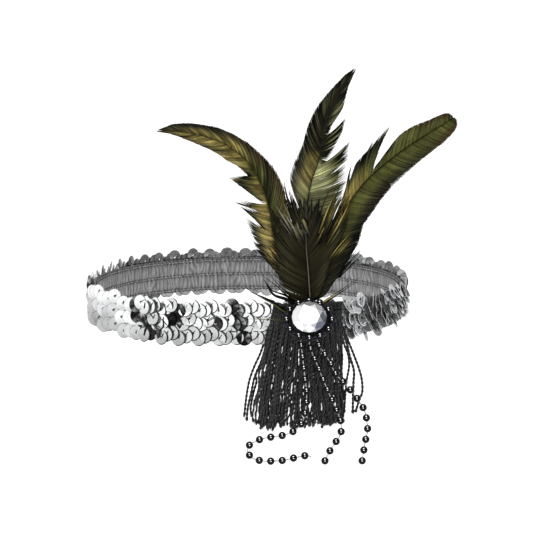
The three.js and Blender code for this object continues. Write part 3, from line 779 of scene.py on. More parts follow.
def make_sequin_threads(rows):
    """A short dark thread from each hole up over the sequin, which holds it down"""
    draw = np.random.default_rng(77)
    share = np.linspace(0, 1, 6)
    pile = Pile()
    for _, centers, facing, right, up in rows:
        count = len(centers)
        way = np.radians(draw.normal(62, 14, (count, 1)))
        ahead = unit(right * np.cos(way) + up * np.sin(way))
        front = (centers[:, 1] < 0) & (centers[:, 0] > -60) & (centers[:, 0] < 30)
        reach = (np.where(front, draw.uniform(1.7, 3.0, count), 1.3)[:, None] * share)[..., None]
        rise = (0.16 + 0.1 * np.sin(math.pi * share) + 0.12 * share**2)[None, :, None]
        paths = centers[:, None] + ahead[:, None] * reach + facing[:, None] * rise
        shade = np.broadcast_to(colour(20, 20, 22), (count, len(share), 3))
        section = round_section(0.3 - 0.14 * share, 5)
        pile.add(*tubes(paths, section, (0.01, 0.02, 1)), tube_tints(shade, 5))
    return pile.make("sequin_threads", cord_finish("sequin_thread", 0.6))


sequin_material = sequin_finish()
sequin_rows = [
    make_sequin_row("sequins_bottom", -ROW_SPACING, 51),
    make_sequin_row("sequins_middle", 0.0, 58),
    make_sequin_row("sequins_top", ROW_SPACING, 65),
]
make_sequin_threads(sequin_rows)


# Fringe

# Where a cord starts and ends as shares of half the header's width, and how long it is
FRINGE_SHAPE = (
    (-1.00, -1.64, 0.95),
    (-0.93, -1.42, 0.98),
    (-0.78, -1.30, 1.00),
    (-0.44, -0.88, 1.00),
    (0.00, -0.04, 0.98),
    (0.44, 0.56, 0.99),
    (0.80, 0.90, 0.98),
    (0.95, 1.02, 0.97),
    (1.00, 1.08, 0.95),
)
# Cords that swing clear of the rest at its sides: [x, z] points from the header down
STRAY_CORDS = (
    [
        (47.0, 4.0), (52.4, -10.2), (55.3, -17.5), (58.3, -25.6),
        (59.8, -31.6), (60.0, -38.0), (58.6, -41.9), (56.5, -48.6),
    ],
    [
        (46.6, 4.0), (51.9, -12.3), (53.2, -18.1), (55.6, -26.6),
        (55.4, -33.2), (55.2, -42.3), (55.1, -49.2),
    ],
    [
        (46.0, 4.0), (50.6, -12.9), (52.4, -17.5), (53.1, -23.5),
        (51.8, -32.0), (51.2, -39.2), (50.6, -48.9),
    ],
    [
        (15.4, 4.0), (8.3, -12.7), (6.5, -17.7), (3.4, -24.5),
        (0.9, -31.8), (-0.7, -40.9), (-1.8, -50.9),
    ],
    [
        (16.0, 4.0), (10.1, -11.8), (7.0, -21.8), (3.8, -29.5),
        (2.0, -37.7), (0.2, -45.9), (-0.5, -53.1),
    ],
    [
        (16.8, 4.0), (11.6, -12.0), (9.2, -20.0), (4.3, -28.6),
        (4.7, -31.8), (3.1, -38.2), (1.6, -46.8), (2.2, -50.9),
    ],
)


def add_cords(pile, paths, draw, radius=CORD_RADIUS):
    """Twisted cords with a knot and loose fibres at their ends"""
    count, steps, _ = paths.shape
    down = np.linspace(0, 1, steps)
    fat = draw.uniform(0.88, 1.08, (count, 1))
    knot = 1 + 0.35 * np.exp(-(((down - 0.985) / 0.012) ** 2))
    turn = 2 * math.pi * FRINGE_LENGTH * down / CORD_TWIST_PITCH / 2 + draw.uniform(0, 6, (count, 1))
    section = round_section(radius * fat * knot, 8, turn, 2, 0.24)
    # Painted sheen on the plies and painted shade in the grooves between them, following the twist,
    # over a random tone per cord
    lobes = 0.95 + 0.85 * np.cos(2 * (np.arange(8) / 8 * 2 * math.pi - turn[..., None]))
    tone = draw.uniform(0.6, 1.3, (count, 1, 1)) * lobes
    ring = (tone[..., None] * colour(43, 43, 44)).reshape(count, -1, 3)
    ends = np.broadcast_to(colour(22, 22, 24), (count, 2, 3))
    pile.add(*tubes(paths, section, (0, -1, 0)), np.concatenate([ring, ends], 1).reshape(-1, 3))
    add_frayed_ends(pile, paths[:, -3:], draw)


def make_fringe_layer(name, distance, count, seed):
    draw = np.random.default_rng(seed)
    top = np.linspace(-1, 1, count) + draw.uniform(-0.5, 0.5, count) / count
    top = np.clip(top, -1, 1)
    foot, drop = table_curve(FRINGE_SHAPE, top).T
    foot = foot + draw.normal(0, 0.045, count)
    drop = drop + draw.normal(0, 0.018, count) - 0.05 * draw.random(count) ** 4
    bow = FRINGE_BOW + draw.normal(0, 0.12, count)
    down = np.linspace(0, 1, CORD_STEPS)
    cord = 100 * np.arange(count)[:, None]
    half = FRINGE_WIDTH / 2
    spread = (foot - top)[:, None] * down * (1 + bow[:, None] * (1 - down))
    hooks = draw.normal(0, 0.5, (count, 1)) * np.maximum(down - 0.9, 0) ** 2 * 120
    x = FRINGE_CENTER_X + half * (top[:, None] + spread) + hooks
    x = x + 1.2 * wander(down[None] * 7 + cord, seed + 1) * down**0.6
    x = x + 0.55 * wander(down[None] * 17 + cord, seed + 3) * np.sqrt(down)
    z = FRINGE_TOP - 0.2 - FRINGE_LENGTH * drop[:, None] * down
    near = np.minimum(np.abs(x), np.abs(x[:, :1]))
    y = -(band_face(near, 3.5) + distance + 0.28 * wander(down[None] * 4 + cord, seed + 2))
    pile = Pile()
    add_cords(pile, np.stack([x, y, z], -1), draw)
    return pile.make(name, fringe_material, ["fringe"])


def make_stray_cords():
    draw = np.random.default_rng(95)
    share = np.linspace(0, 1, CORD_STEPS)
    distance = band_face(FRINGE_CENTER_X + FRINGE_WIDTH / 2, 3.5) + 1.75
    paths = []
    for points in STRAY_CORDS:
        line = smooth_curve([(x, -distance, z) for x, z in points])
        paths.append(along(line, share * travelled(line)[-1]))
    pile = Pile()
    add_cords(pile, np.stack(paths), draw, STRAY_CORD_RADIUS)
    return pile.make("fringe_strays", fringe_material, ["fringe"])


def add_frayed_ends(pile, tips, draw):
    """A few loose fibres where each cord is cut"""
    fibres = 6
    count = len(tips)
    share = np.linspace(0, 1, 4)
    ahead = unit(tips[:, -1] - tips[:, 0])
    for _ in range(fibres):
        flare = draw.normal(0, 0.38, (count, 3)) * (1, 0.6, 0.4)
        way = unit(ahead + flare)
        reach = draw.uniform(0.9, 2.0, (count, 1))
        paths = tips[:, 1][:, None] + (way * reach)[:, None] * share[None, :, None]
        section = round_section(0.13 * (1 - 0.7 * share), 3)
        shade = np.broadcast_to(colour(34, 34, 37), (count, len(share), 3))
        pile.add(*tubes(paths, section, (0, -1, 0.1)), tube_tints(shade, 3))


def make_fringe_header():
    """Tape that the cords are sewn to, and three thread rows across it"""
    steps = 90
    x = FRINGE_CENTER_X + np.linspace(-0.5, 0.5, steps) * (FRINGE_WIDTH + 0.6)
    pile = Pile()
    tape = np.stack([x, -(band_face(x, 3.5) + 0.3 + 0.35), np.full(steps, FRINGE_TOP - 2.5)], -1)
    ribs = 0.08 * np.cos(np.arange(steps) * math.pi)
    corner_across = np.array([1, 1, -1, -1.0])
    corner_up = np.array([1, -1, -1, 1.0])
    section = np.stack(
        [
            corner_across * (0.32 + ribs[:, None]),
            np.broadcast_to(corner_up * FRINGE_HEADER_HEIGHT / 2, (steps, 4)),
        ],
        -1,
    )
    shade = np.broadcast_to(colour(30, 30, 33), (1, steps, 3))
    pile.add(*tubes(tape[None], section[None], (0, 0, 1)), tube_tints(shade, 4))
    for height in (-0.6, -2.4, -4.3):
        line = np.stack(
            [x, -(band_face(x, 3.5) + FRINGE_DEPTH + 0.15), np.full(steps, FRINGE_TOP + height)], -1
        )
        turn = np.arange(steps) * 0.9
        section = round_section(np.full(steps, 0.34), 8, turn, 2, 0.25)
        shade = np.broadcast_to(colour(26, 26, 28), (1, steps, 3))
        pile.add(*tubes(line[None], section[None], (0, 0, 1)), tube_tints(shade, 8))
    return pile.make("fringe_header", fringe_material, ["fringe"])


fringe_material = cord_finish("twisted_rayon", 0.5)
make_fringe_layer("fringe_back", 0.85, 45, 81)
make_fringe_layer("fringe_middle", 1.75, 45, 87)
make_fringe_layer("fringe_front", 2.65, 41, 90)
make_stray_cords()
make_fringe_header()


# Feathers

BLACK = colour(11, 11, 10)
SLATE = colour(48, 48, 48)
DARK = colour(37, 34, 19)
BROWN = colour(66, 52, 26)
GOLD = colour(156, 141, 78)
TAN = colour(178, 160, 98)
OLIVE = colour(86, 88, 44)
MOSS = colour(58, 60, 30)
PALE = colour(196, 198, 142)
ASH = colour(120, 120, 108)


class Feather:
    """A feather's place, outline and colours. Its sizes are shares of its length:
    rachis: points (along, side)
    left, right: a row for a barb, (where it starts on the rachis, its tip along, its tip to the side)
    tones: for each vane, rows (along, colour by the rachis, colour at the barbs' tips)
    gather, ragged: for each vane, how far barbs draw together and how much their lengths vary
    quill: half the rachis's width at its root in mm, and its colour
    streaks: for each vane, its share of black streaks and of pale ones
    dapple: how much the tone varies"""

    def __init__(
        self, name, node, layer, quill_x, length, lean, back_bend,
        rachis, left, right, tones, gather, ragged, quill, streaks, dapple=1.0,
    ):
        self.name, self.node, self.layer = name, node, layer
        self.quill_x, self.length, self.lean = quill_x, length, math.radians(lean)
        self.back_bend = back_bend
        self.rachis = smooth_curve(rachis)
        self.vanes = {-1: left, 1: right}
        self.tones = {
            side: [(at, *inner, *outer) for at, inner, outer in rows] for side, rows in tones.items()
        }
        self.gather, self.ragged, self.quill, self.streaks = gather, ragged, quill, streaks
        self.dapple = dapple

    def place(self, shares, forwards=0.0):
        """Points of the feather's middle surface, or in front of it"""
        along_share, side = shares[..., 0], shares[..., 1]
        face = band_face(MEDALLION[0], 3.5)
        distance = face + CLEARANCE + QUILL_THICKNESS / 2 + self.layer * FEATHER_LAYER_PITCH
        sine, cosine = math.sin(self.lean), math.cos(self.lean)
        x = MEDALLION[0] + self.quill_x + self.length * (along_share * sine + side * cosine)
        y = -distance - forwards + self.back_bend * along_share * np.abs(along_share)
        z = FRINGE_TOP + CLEARANCE + self.length * (along_share * cosine - side * sine)
        return np.stack([x, y, z], -1)


FEATHERS = [
    Feather(
        "plume_center", "feather_center", 0, 0.1, 123.0, 11.2, 12.0,
        rachis=[
            (0, 0), (0.22, -0.048), (0.41, -0.087), (0.50, -0.090), (0.60, -0.077),
            (0.74, -0.082), (0.83, -0.068), (0.90, -0.040), (1, 0),
        ],
        left=[
            (0.10, 0.175, -0.061), (0.27, 0.316, -0.102), (0.36, 0.403, -0.125),
            (0.39, 0.438, -0.152), (0.41, 0.486, -0.178), (0.43, 0.513, -0.185),
            (0.455, 0.5585, -0.180), (0.50, 0.610, -0.166), (0.55, 0.657, -0.155),
            (0.59, 0.694, -0.154), (0.65, 0.749, -0.147), (0.70, 0.804, -0.132),
            (0.74, 0.849, -0.112), (0.81, 0.919, -0.069), (0.885, 0.969, -0.035),
            (0.97, 1.0, -0.004),
        ],
        right=[
            (0.13, 0.1645, -0.007), (0.27, 0.316, 0.005), (0.375, 0.436, 0.032),
            (0.425, 0.494, 0.046), (0.455, 0.536, 0.052), (0.47, 0.5665, 0.042),
            (0.48, 0.581, 0.035), (0.49, 0.611, 0.041), (0.50, 0.531, -0.026),
            (0.51, 0.623, 0.039), (0.53, 0.643, 0.037), (0.545, 0.675, 0.0345),
            (0.562, 0.70, 0.036), (0.572, 0.567, -0.058), (0.60, 0.599, -0.042),
            (0.615, 0.638, -0.029), (0.63, 0.681, -0.017), (0.645, 0.735, -0.002),
            (0.68, 0.792, -0.001), (0.69, 0.689, -0.060), (0.72, 0.756, -0.049),
            (0.75, 0.827, -0.020), (0.785, 0.88, -0.017), (0.845, 0.926, -0.014),
            (0.905, 0.964, -0.005), (0.97, 1.0, 0.003),
        ],
        tones={
            -1: [(0, DARK, DARK), (0.33, MOSS, DARK), (0.42, PALE, ASH), (0.52, TAN, SLATE),
                 (0.59, GOLD, BLACK), (0.64, DARK, BLACK), (0.72, DARK, BLACK), (1, DARK, BLACK)],
            1: [(0, DARK, DARK), (0.33, MOSS, BROWN), (0.43, PALE, PALE), (0.55, PALE, OLIVE),
                (0.62, MOSS, BLACK), (0.74, DARK, BLACK), (1, BLACK, BLACK)],
        },
        gather={-1: 0.1, 1: 0.1}, ragged={-1: 0.014, 1: 0.02}, quill=(0.6, SLATE),
        streaks={-1: (0.5, 0.12), 1: (0.5, 0.35)}, dapple=0.8,
    ),
    Feather(
        "plume_left", "feather_left", 1, -2.0, 117.5, -40.5, 6.0,
        rachis=[
            (0, 0), (0.14, 0.033), (0.26, 0.064), (0.34, 0.104), (0.41, 0.146), (0.48, 0.179),
            (0.534, 0.196), (0.60, 0.212), (0.66, 0.213), (0.72, 0.202), (0.78, 0.183),
            (0.835, 0.149), (0.90, 0.101), (1, 0),
        ],
        left=[
            (0.06, 0.121, -0.013), (0.13, 0.215, -0.0075), (0.17, 0.276, -0.007),
            (0.20, 0.312, -0.0105), (0.225, 0.365, 0.005), (0.23, 0.326, 0.013),
            (0.265, 0.377, 0.018), (0.285, 0.406, 0.029), (0.305, 0.463, 0.047),
            (0.31, 0.389, 0.075), (0.335, 0.453, 0.071), (0.37, 0.512, 0.061),
            (0.38, 0.457, 0.108), (0.39, 0.501, 0.085), (0.41, 0.542, 0.054),
            (0.42, 0.515, 0.097), (0.432, 0.446, 0.143), (0.44, 0.488, 0.14),
            (0.48, 0.576, 0.121), (0.515, 0.642, 0.106), (0.535, 0.61, 0.156),
            (0.545, 0.595, 0.176), (0.58, 0.661, 0.167), (0.61, 0.705, 0.148),
            (0.65, 0.746, 0.139), (0.69, 0.799, 0.118), (0.77, 0.864, 0.085),
            (0.83, 0.92, 0.055), (0.89, 0.961, 0.03), (0.97, 1.0, -0.004),
        ],
        right=[
            (0.045, 0.103, 0.076), (0.12, 0.198, 0.134), (0.195, 0.285, 0.177),
            (0.255, 0.356, 0.206), (0.305, 0.402, 0.233), (0.35, 0.45, 0.262),
            (0.385, 0.498, 0.276), (0.42, 0.554, 0.286), (0.46, 0.605, 0.284),
            (0.505, 0.661, 0.277), (0.56, 0.714, 0.267), (0.62, 0.782, 0.242),
            (0.685, 0.842, 0.21), (0.75, 0.901, 0.161), (0.81, 0.937, 0.126),
            (0.875, 0.978, 0.072), (0.925, 0.991, 0.034), (0.97, 1.0, 0.005),
        ],
        tones={
            -1: [(0, DARK, BLACK), (0.12, TAN, BLACK), (0.35, TAN, BLACK), (0.5, GOLD, BLACK),
                 (0.6, OLIVE, BLACK), (0.66, GOLD, TAN), (0.9, GOLD, BROWN), (1, BLACK, BLACK)],
            1: [(0, DARK, DARK), (0.2, MOSS, BROWN), (0.32, OLIVE, GOLD), (0.45, MOSS, BROWN),
                (0.6, OLIVE, BROWN), (0.7, GOLD, BROWN), (0.88, GOLD, DARK), (1, BLACK, BLACK)],
        },
        gather={-1: 0.12, 1: 0.05}, ragged={-1: 0.014, 1: 0.012}, quill=(0.8, MOSS),
        streaks={-1: (0.3, 0.15), 1: (0.75, 0.1)},
    ),
    Feather(
        "plume_right", "feather_right", 2, 2.1, 120.5, 37.7, 3.0,
        rachis=[
            (0, 0), (0.0915, -0.05), (0.172, -0.086), (0.261, -0.112), (0.36, -0.131), (0.438, -0.144),
            (0.518, -0.148), (0.596, -0.141), (0.678, -0.123), (0.77, -0.098), (0.857, -0.068),
            (0.932, -0.04), (0.996, -0.016), (1.015, -0.008),
        ],
        left=[
            (0.09, 0.14, -0.09), (0.17, 0.233, -0.112), (0.27, 0.341, -0.145),
            (0.35, 0.437, -0.177), (0.41, 0.51, -0.207), (0.42, 0.584, -0.243),
            (0.43, 0.515, -0.201), (0.465, 0.576, -0.222), (0.48, 0.601, -0.227),
            (0.525, 0.6685, -0.222), (0.54, 0.708, -0.2265), (0.545, 0.698, -0.216),
            (0.56, 0.744, -0.218), (0.575, 0.809, -0.208), (0.582, 0.73, -0.1925),
            (0.588, 0.59, -0.1485), (0.60, 0.635, -0.1525), (0.617, 0.674, -0.153),
            (0.655, 0.75, -0.155), (0.68, 0.787, -0.154), (0.71, 0.818, -0.149),
            (0.745, 0.8515, -0.137), (0.785, 0.882, -0.122), (0.83, 0.916, -0.1005),
            (0.885, 0.96, -0.076), (0.94, 0.992, -0.057), (0.965, 1.003, -0.042),
            (0.98, 1.003, -0.025),
        ],
        right=[
            (0.012, 0.072, 0.02), (0.045, 0.156, 0.013), (0.11, 0.2385, 0.003),
            (0.185, 0.323, -0.005), (0.25, 0.364, -0.022), (0.31, 0.404, -0.039),
            (0.395, 0.475, -0.041), (0.475, 0.535, -0.045), (0.575, 0.606, -0.042),
            (0.65, 0.699, -0.0275), (0.73, 0.779, -0.012), (0.81, 0.853, 0.007),
            (0.853, 0.89, 0.018), (0.89, 0.927, 0.022), (0.935, 0.962, 0.024),
            (0.97, 0.9865, 0.017), (0.985, 1.0, 0.002),
        ],
        tones={
            -1: [(0, DARK, BLACK), (0.25, GOLD, BROWN), (0.5, GOLD, BLACK), (0.62, OLIVE, BLACK),
                 (0.74, OLIVE, BLACK), (0.78, OLIVE, OLIVE), (0.96, OLIVE, BROWN), (1, MOSS, BROWN)],
            1: [(0, BLACK, BLACK), (0.24, DARK, BLACK), (0.34, OLIVE, BLACK), (0.6, OLIVE, DARK),
                (0.8, OLIVE, MOSS), (0.95, OLIVE, BROWN), (1, MOSS, BROWN)],
        },
        gather={-1: 0.14, 1: 0.03}, ragged={-1: 0.014, 1: 0.01}, quill=(0.5, BLACK),
        streaks={-1: (0.35, 0.1), 1: (0.12, 0.05)}, dapple=0.35,
    ),
    Feather(
        "plume_front", "feather_front", 3, 0.8, 53.5, -2.6, -3.0,
        rachis=[(0, 0), (0.267, -0.006), (0.596, -0.017), (0.76, -0.01), (1, 0)],
        left=[
            (0.02, 0.078, -0.20), (0.05, 0.1545, -0.265), (0.09, 0.239, -0.311),
            (0.14, 0.337, -0.33), (0.20, 0.445, -0.351), (0.27, 0.569, -0.35),
            (0.34, 0.691, -0.34), (0.40, 0.813, -0.32), (0.44, 0.958, -0.346),
            (0.47, 0.894, -0.284), (0.50, 0.834, -0.22), (0.54, 0.757, -0.141),
            (0.56, 0.673, -0.096), (0.60, 0.90, -0.17), (0.65, 1.245, -0.207),
            (0.68, 1.084, -0.127), (0.74, 0.93, -0.07), (0.80, 1.08, -0.06), (0.85, 0.93, -0.03),
            (0.9, 1.05, -0.02), (0.97, 1.0, -0.004),
        ],
        right=[
            (0.03, 0.105, 0.098), (0.08, 0.231, 0.153), (0.15, 0.407, 0.21),
            (0.25, 0.572, 0.296), (0.33, 0.768, 0.384), (0.38, 0.865, 0.405),
            (0.44, 0.975, 0.3355), (0.50, 0.80, 0.16), (0.62, 1.033, 0.125),
            (0.75, 0.9, 0.05), (0.8, 1.07, 0.06), (0.88, 0.92, 0.03), (0.97, 1.02, 0.004),
        ],
        tones={
            -1: [(0, DARK, DARK), (0.5, DARK, DARK), (1, DARK, BLACK)],
            1: [(0, DARK, DARK), (0.5, DARK, DARK), (1, DARK, BLACK)],
        },
        gather={-1: 0.3, 1: 0.3}, ragged={-1: 0.05, 1: 0.05}, quill=(0.55, ASH),
        streaks={-1: (0.25, 0.07), 1: (0.25, 0.05)}, dapple=0.5,
    ),
]


def barb_lines(feather, side, seed, draw):
    """Where each barb along one side of the rachis runs, drawn together in clumps towards the tips:
    its root on the rachis, its points as shares, each point's share of the way along it and its points
    in the model"""
    rows = feather.vanes[side]
    length = travelled(feather.rachis)[-1]
    first, last = rows[0][0], rows[-1][0]
    count = int((last - first) * length * feather.length / BARB_PITCH)
    roots = np.linspace(first, last, count)
    clumps = CLUMPS * feather.length / CLUMPS_ALONG
    clumped = (np.floor(roots * clumps) + 0.5 + 0.3 * wander(roots * clumps, seed + 3)) / clumps
    gather = feather.gather[side] * (1 - ease((roots - 0.8) / 0.2))
    tip_root = np.clip(roots + gather * (clumped - roots), first, last)
    tip = 0.6 * table_curve(rows, tip_root) + 0.4 * table_curve(rows, roots)
    start = along(feather.rachis, roots * length)
    reach = np.linalg.norm(tip - start, axis=1, keepdims=True)
    tip = start + (tip - start) * (1 + feather.ragged[side] * draw.normal(0, 1, (count, 1)))
    chord = unit(tip - start)
    outer = np.stack([-chord[:, 1], chord[:, 0]], -1) * side
    bend = start + 0.5 * (tip - start) + outer * reach * BARB_BOW
    share = np.linspace(0, 1, BARB_STEPS)[None, :, None]
    shares = (
        start[:, None] * (1 - share) ** 2
        + 2 * bend[:, None] * share * (1 - share)
        + tip[:, None] * share**2
    )
    flat = share[..., 0]
    camber = 0.5 * np.sin(math.pi * flat * 0.9) * np.minimum(reach * feather.length / 12, 1)
    ripple = 0.14 * wander(roots * 60, seed + 4)[:, None] * flat
    ripple = ripple + 0.09 * draw.normal(0, 1, (count, 1)) * flat
    return roots, shares, flat, feather.place(shares, camber + ripple)


def barb_tints(feather, side, seed, draw, roots, shares, flat):
    """Colours along each barb: the feather's tones with streaks, dapples and odd dark or pale barbs"""
    count = len(roots)
    tones = table_curve(feather.tones[side], shares[..., 0].ravel()).reshape(count, BARB_STEPS, 6)
    across = ease((flat - 0.3) / 0.42)[..., None]
    shade = tones[..., :3] * (1 - across) + tones[..., 3:] * across
    fine, broad = wander(roots * 130, seed + 5), wander(roots * 45, seed + 6)
    streak = 1 + 0.5 * feather.dapple * fine + 0.3 * feather.dapple * broad
    hair = draw.uniform(0.65, 1.3, count) * np.where(draw.random(count) < 0.14, 0.35, 1)
    dapple = 1 + 0.3 * feather.dapple * wander(flat * 4 + roots[:, None] * 31, seed + 7)
    blotch = ease(wander(flat * 2.3 - roots[:, None] * 17 + 50, seed + 8) * 1.4)
    dapple = dapple * (1 - 0.45 * feather.dapple * blotch)
    shade = shade * (np.clip(streak * hair, 0.2, 1.9)[:, None] * dapple)[..., None]
    black_share, pale_share = feather.streaks[side]
    bands = wander(roots * 85, seed + 9)[:, None] + 0.5 * wander(flat * 3, seed + 10)
    black = black_share * ease(bands * 2.2)
    pale = pale_share * (draw.random(count) < 0.3)[:, None]
    pale = pale * ease((flat - 0.15) / 0.4) * (1 - ease((flat - 0.8) * 5))
    return shade * (1 - 0.85 * black[..., None]) * (1 - pale[..., None]) + PALE * pale[..., None]


def add_vane(pile, feather, side, seed):
    draw = np.random.default_rng(seed)
    roots, shares, flat, paths = barb_lines(feather, side, seed, draw)
    width = BARB_HALF_WIDTH * np.interp(flat[0], [0, 0.1, 0.75, 1], [0.9, 1.15, 1.0, 0.3])
    thick = BARB_HALF_THICKNESS * np.interp(flat[0], [0, 0.75, 1], [1.2, 0.9, 0.4])
    section = np.stack(
        [np.stack([width, -width, 0 * width], -1), np.stack([thick, thick, -thick], -1)], -1
    )
    section = section[:, ::-1] if reversed_section(section) else section
    tints = barb_tints(feather, side, seed, draw, roots, shares, flat)
    pile.add(*tubes(paths, section[None], (0, -1, 0)), tube_tints(tints, 3))


def reversed_section(section):
    """True if a section's corners run the wrong way round"""
    x, y = section[0].T
    return float(np.sum(x * np.roll(y, -1) - np.roll(x, -1) * y)) < 0


def add_rachis(pile, feather):
    steps = 60
    share = np.linspace(0, 1, steps)
    length = travelled(feather.rachis)[-1]
    path = feather.place(along(feather.rachis, share * length), 0.25)
    stout, tip = feather.quill
    width = stout * np.interp(share, [0, 0.1, 0.5, 1], [0.75, 0.6, 0.3, 0.1])
    depth = np.interp(share, [0, 0.5, 1], [0.45, 0.3, 0.12])
    section = round_section(np.ones(steps), 8) * np.stack([width, depth], -1)[:, None]
    root = tip * 0.6
    shade = root + (tip - root) * share[:, None]
    pile.add(*tubes(path[None], section[None], (0, -1, 0)), tube_tints(shade[None], 8))


def make_feather(feather, seed):
    pile = Pile()
    add_vane(pile, feather, -1, seed)
    add_vane(pile, feather, 1, seed + 20)
    add_rachis(pile, feather)
    return pile.make(feather.name, feather_finish(feather.name + "_finish"), [feather.node])


for number, (feather, slot) in enumerate(
    zip(FEATHERS, ("feather_gold", "feather_gold", "feather_olive", "feather_dark"))
):
    make_feather(feather, 200 + 50 * number)

# Loose barbs and quills that stick out round the medallion: [x, z] points from root to tip, from the
# medallion's middle, how far they stand in front of the band, the root's radius and their colour
LOOSE_BARBS = [
    ([(-4, 10), (-17.2, 25.9), (-28.8, 35.5)], 1.2, 0.42, BLACK),
    ([(-4, 8), (-16.0, 24.5), (-27.5, 33.6)], 2.0, 0.34, DARK),
    ([(-3, 6), (-9.8, 11.9), (-23.2, 25.9)], 3.0, 0.36, BLACK),
    ([(-4, 7), (-10.6, 11.6), (-17.2, 17.6), (-24.0, 22.4)], 3.1, 0.4, BLACK),
    ([(-5, 6), (-11.6, 10.1), (-18.4, 12.8), (-23.2, 20.6)], 3.4, 1.05, BLACK),
    ([(-5, 7), (-12.0, 12.1), (-19.0, 14.8), (-21.6, 18.4)], 3.0, 0.7, BLACK),
    ([(-6, 2), (-13.4, 4.9), (-18.4, 8.6), (-29.3, 13.9)], 4.2, 1.15, BLACK),
    ([(-7, 2.4), (-13.2, 4.3), (-18.0, 7.7), (-26.4, 12.0)], 5.3, 0.42, OLIVE),
    ([(-6, -1), (-14.1, -0.6), (-31.0, 0.0)], 4.0, 0.34, OLIVE),
    ([(6, 14), (16.0, 26.7), (26.3, 34.6)], 1.6, 0.32, DARK),
    ([(6, 13), (16.0, 25.2), (25.0, 32.2)], 2.0, 0.3, BLACK),
    ([(2, 20), (6.1, 24.6), (20.7, 25.9)], 2.4, 0.34, BLACK),
    ([(4, 6), (9.6, 10.1), (16.0, 14.4)], 3.8, 0.5, GOLD),
    ([(5, 6.5), (9.6, 10.2), (26.7, 21.9)], 3.7, 0.38, DARK),
    ([(5, 6), (10.0, 9.4), (24.0, 18.9)], 3.4, 0.42, BLACK),
    ([(8, 5), (16.6, 5.0), (22.8, 4.9)], 3.6, 0.42, BLACK),
    ([(3, -3), (6.7, -6.3), (12.4, -12.6)], 4.4, 0.26, BROWN),
    ([(2, 13), (6.5, 18.0), (12.5, 25.5)], 3.6, 1.2, BLACK),
    ([(1, 12), (5.0, 16.0), (9.0, 22.5)], 3.3, 1.2, BLACK),
    ([(5.0, 33.0), (7.5, 37.7), (10.5, 42.0)], 4.6, 0.8, DARK),
    ([(-3.5, 38.5), (-6.3, 42.8), (-9.5, 47.0)], 4.6, 0.8, BLACK),
]

# Fans of fine wisps between the feathers: root and tip as [x, z] from the medallion's middle, how far
# roots and tips spread, how far in front of the band they stand, how many they are and their colours
WISPS = [
    ((8.5, 44), (18.0, 64), 5.0, 6.5, 6.4, 50, (BROWN, MOSS, BLACK, BROWN, OLIVE, BLACK, GOLD)),
    ((-3.5, 45.5), (-12.0, 62), 5.0, 6.5, 6.2, 40, (ASH, BLACK, MOSS, ASH, GOLD, BROWN)),
    ((11.5, 31), (22.5, 43.5), 1.4, 2.4, 6.2, 7, (BROWN, OLIVE, GOLD, DARK)),
    ((14, 22), (25, 35), 2.4, 4.0, 2.2, 14, (BLACK, BLACK, DARK)),
    ((-12, 24), (-21, 36), 2.0, 3.0, 2.2, 6, (BLACK, DARK)),
]


def wisp_barbs():
    """The fans of WISPS as single loose barbs"""
    draw = np.random.default_rng(401)
    barbs = []
    for root, tip, root_spread, tip_spread, forwards, count, tints in WISPS:
        for number in range(count):
            shift = draw.normal(0, 0.5, 2)
            start = np.array(root) + shift * root_spread
            end = np.array(tip) + (shift + draw.normal(0, 0.1, 2)) * tip_spread
            middle = (start + end) / 2 + draw.normal(0, 0.4, 2)
            depth = forwards + draw.uniform(0, 0.8)
            radius, tint = draw.uniform(0.24, 0.52), tints[number % len(tints)]
            barbs.append(([start, middle, end], depth, radius, tint))
    return barbs


def make_loose_barbs():
    pile = Pile()
    steps = 26
    share = np.linspace(0, 1, steps)
    for points, forwards, radius, tint in LOOSE_BARBS + wisp_barbs():
        line = smooth_curve(points)
        flat = along(line, share * travelled(line)[-1])
        x = MEDALLION[0] + flat[:, 0]
        y = -(band_face(MEDALLION[0], 3.5) + forwards) * np.ones(steps)
        path = np.stack([x, y, MEDALLION[2] + flat[:, 1]], -1)
        taper = radius * (1 - 0.85 * share**1.6)
        section = round_section(taper, 6) * (1, 0.6)
        # Painted shade darkens each barb's root where it comes out from between the feathers; the tip
        # is darker too
        shade = tint * np.interp(share, [0, 0.1, 0.45, 0.8, 1], [0.12, 0.2, 1.0, 0.9, 0.5])[:, None]
        pile.add(*tubes(path[None], section[None], (0, -1, 0)), tube_tints(shade[None], 6))
    return pile.make("loose_barbs", feather_finish("loose_barb_finish"))


make_loose_barbs()


# Beads

BEAD_PROFILE_STEPS = 15
BEAD_SIDES = 22


def add_beads(pile, centers, directions):
    """Drilled round beads threaded along the given directions"""
    radius = BEAD_DIAMETER / 2
    opening = math.asin(BEAD_BORE / BEAD_DIAMETER)
    arc = np.linspace(opening, math.pi - opening, BEAD_PROFILE_STEPS)
    outer = np.stack([-radius * np.cos(arc), radius * np.sin(arc)], -1)
    bore = np.array([[0.55 * radius, BEAD_BORE / 2 * 0.8], [-0.55 * radius, BEAD_BORE / 2 * 0.8]])
    profile = np.concatenate([outer, bore])
    angle = np.arange(BEAD_SIDES) / BEAD_SIDES * 2 * math.pi
    across = unit(np.cross(directions, MEDALLION_NORMAL))
    upwards = np.cross(directions, across)
    cosine, sine = np.cos(angle)[None, :, None], np.sin(angle)[None, :, None]
    spin = across[:, None] * cosine + upwards[:, None] * sine
    points = (
        centers[:, None, None]
        + directions[:, None, None] * profile[None, None, :, :1]
        + spin[:, :, None] * profile[None, None, :, 1:]
    )
    quads = ring_faces(BEAD_SIDES, len(profile))
    shift = (np.arange(len(centers)) * BEAD_SIDES * len(profile))[:, None, None]
    pile.add(points, (quads[None] + shift).reshape(-1, 4), [], colour(1, 1, 1))


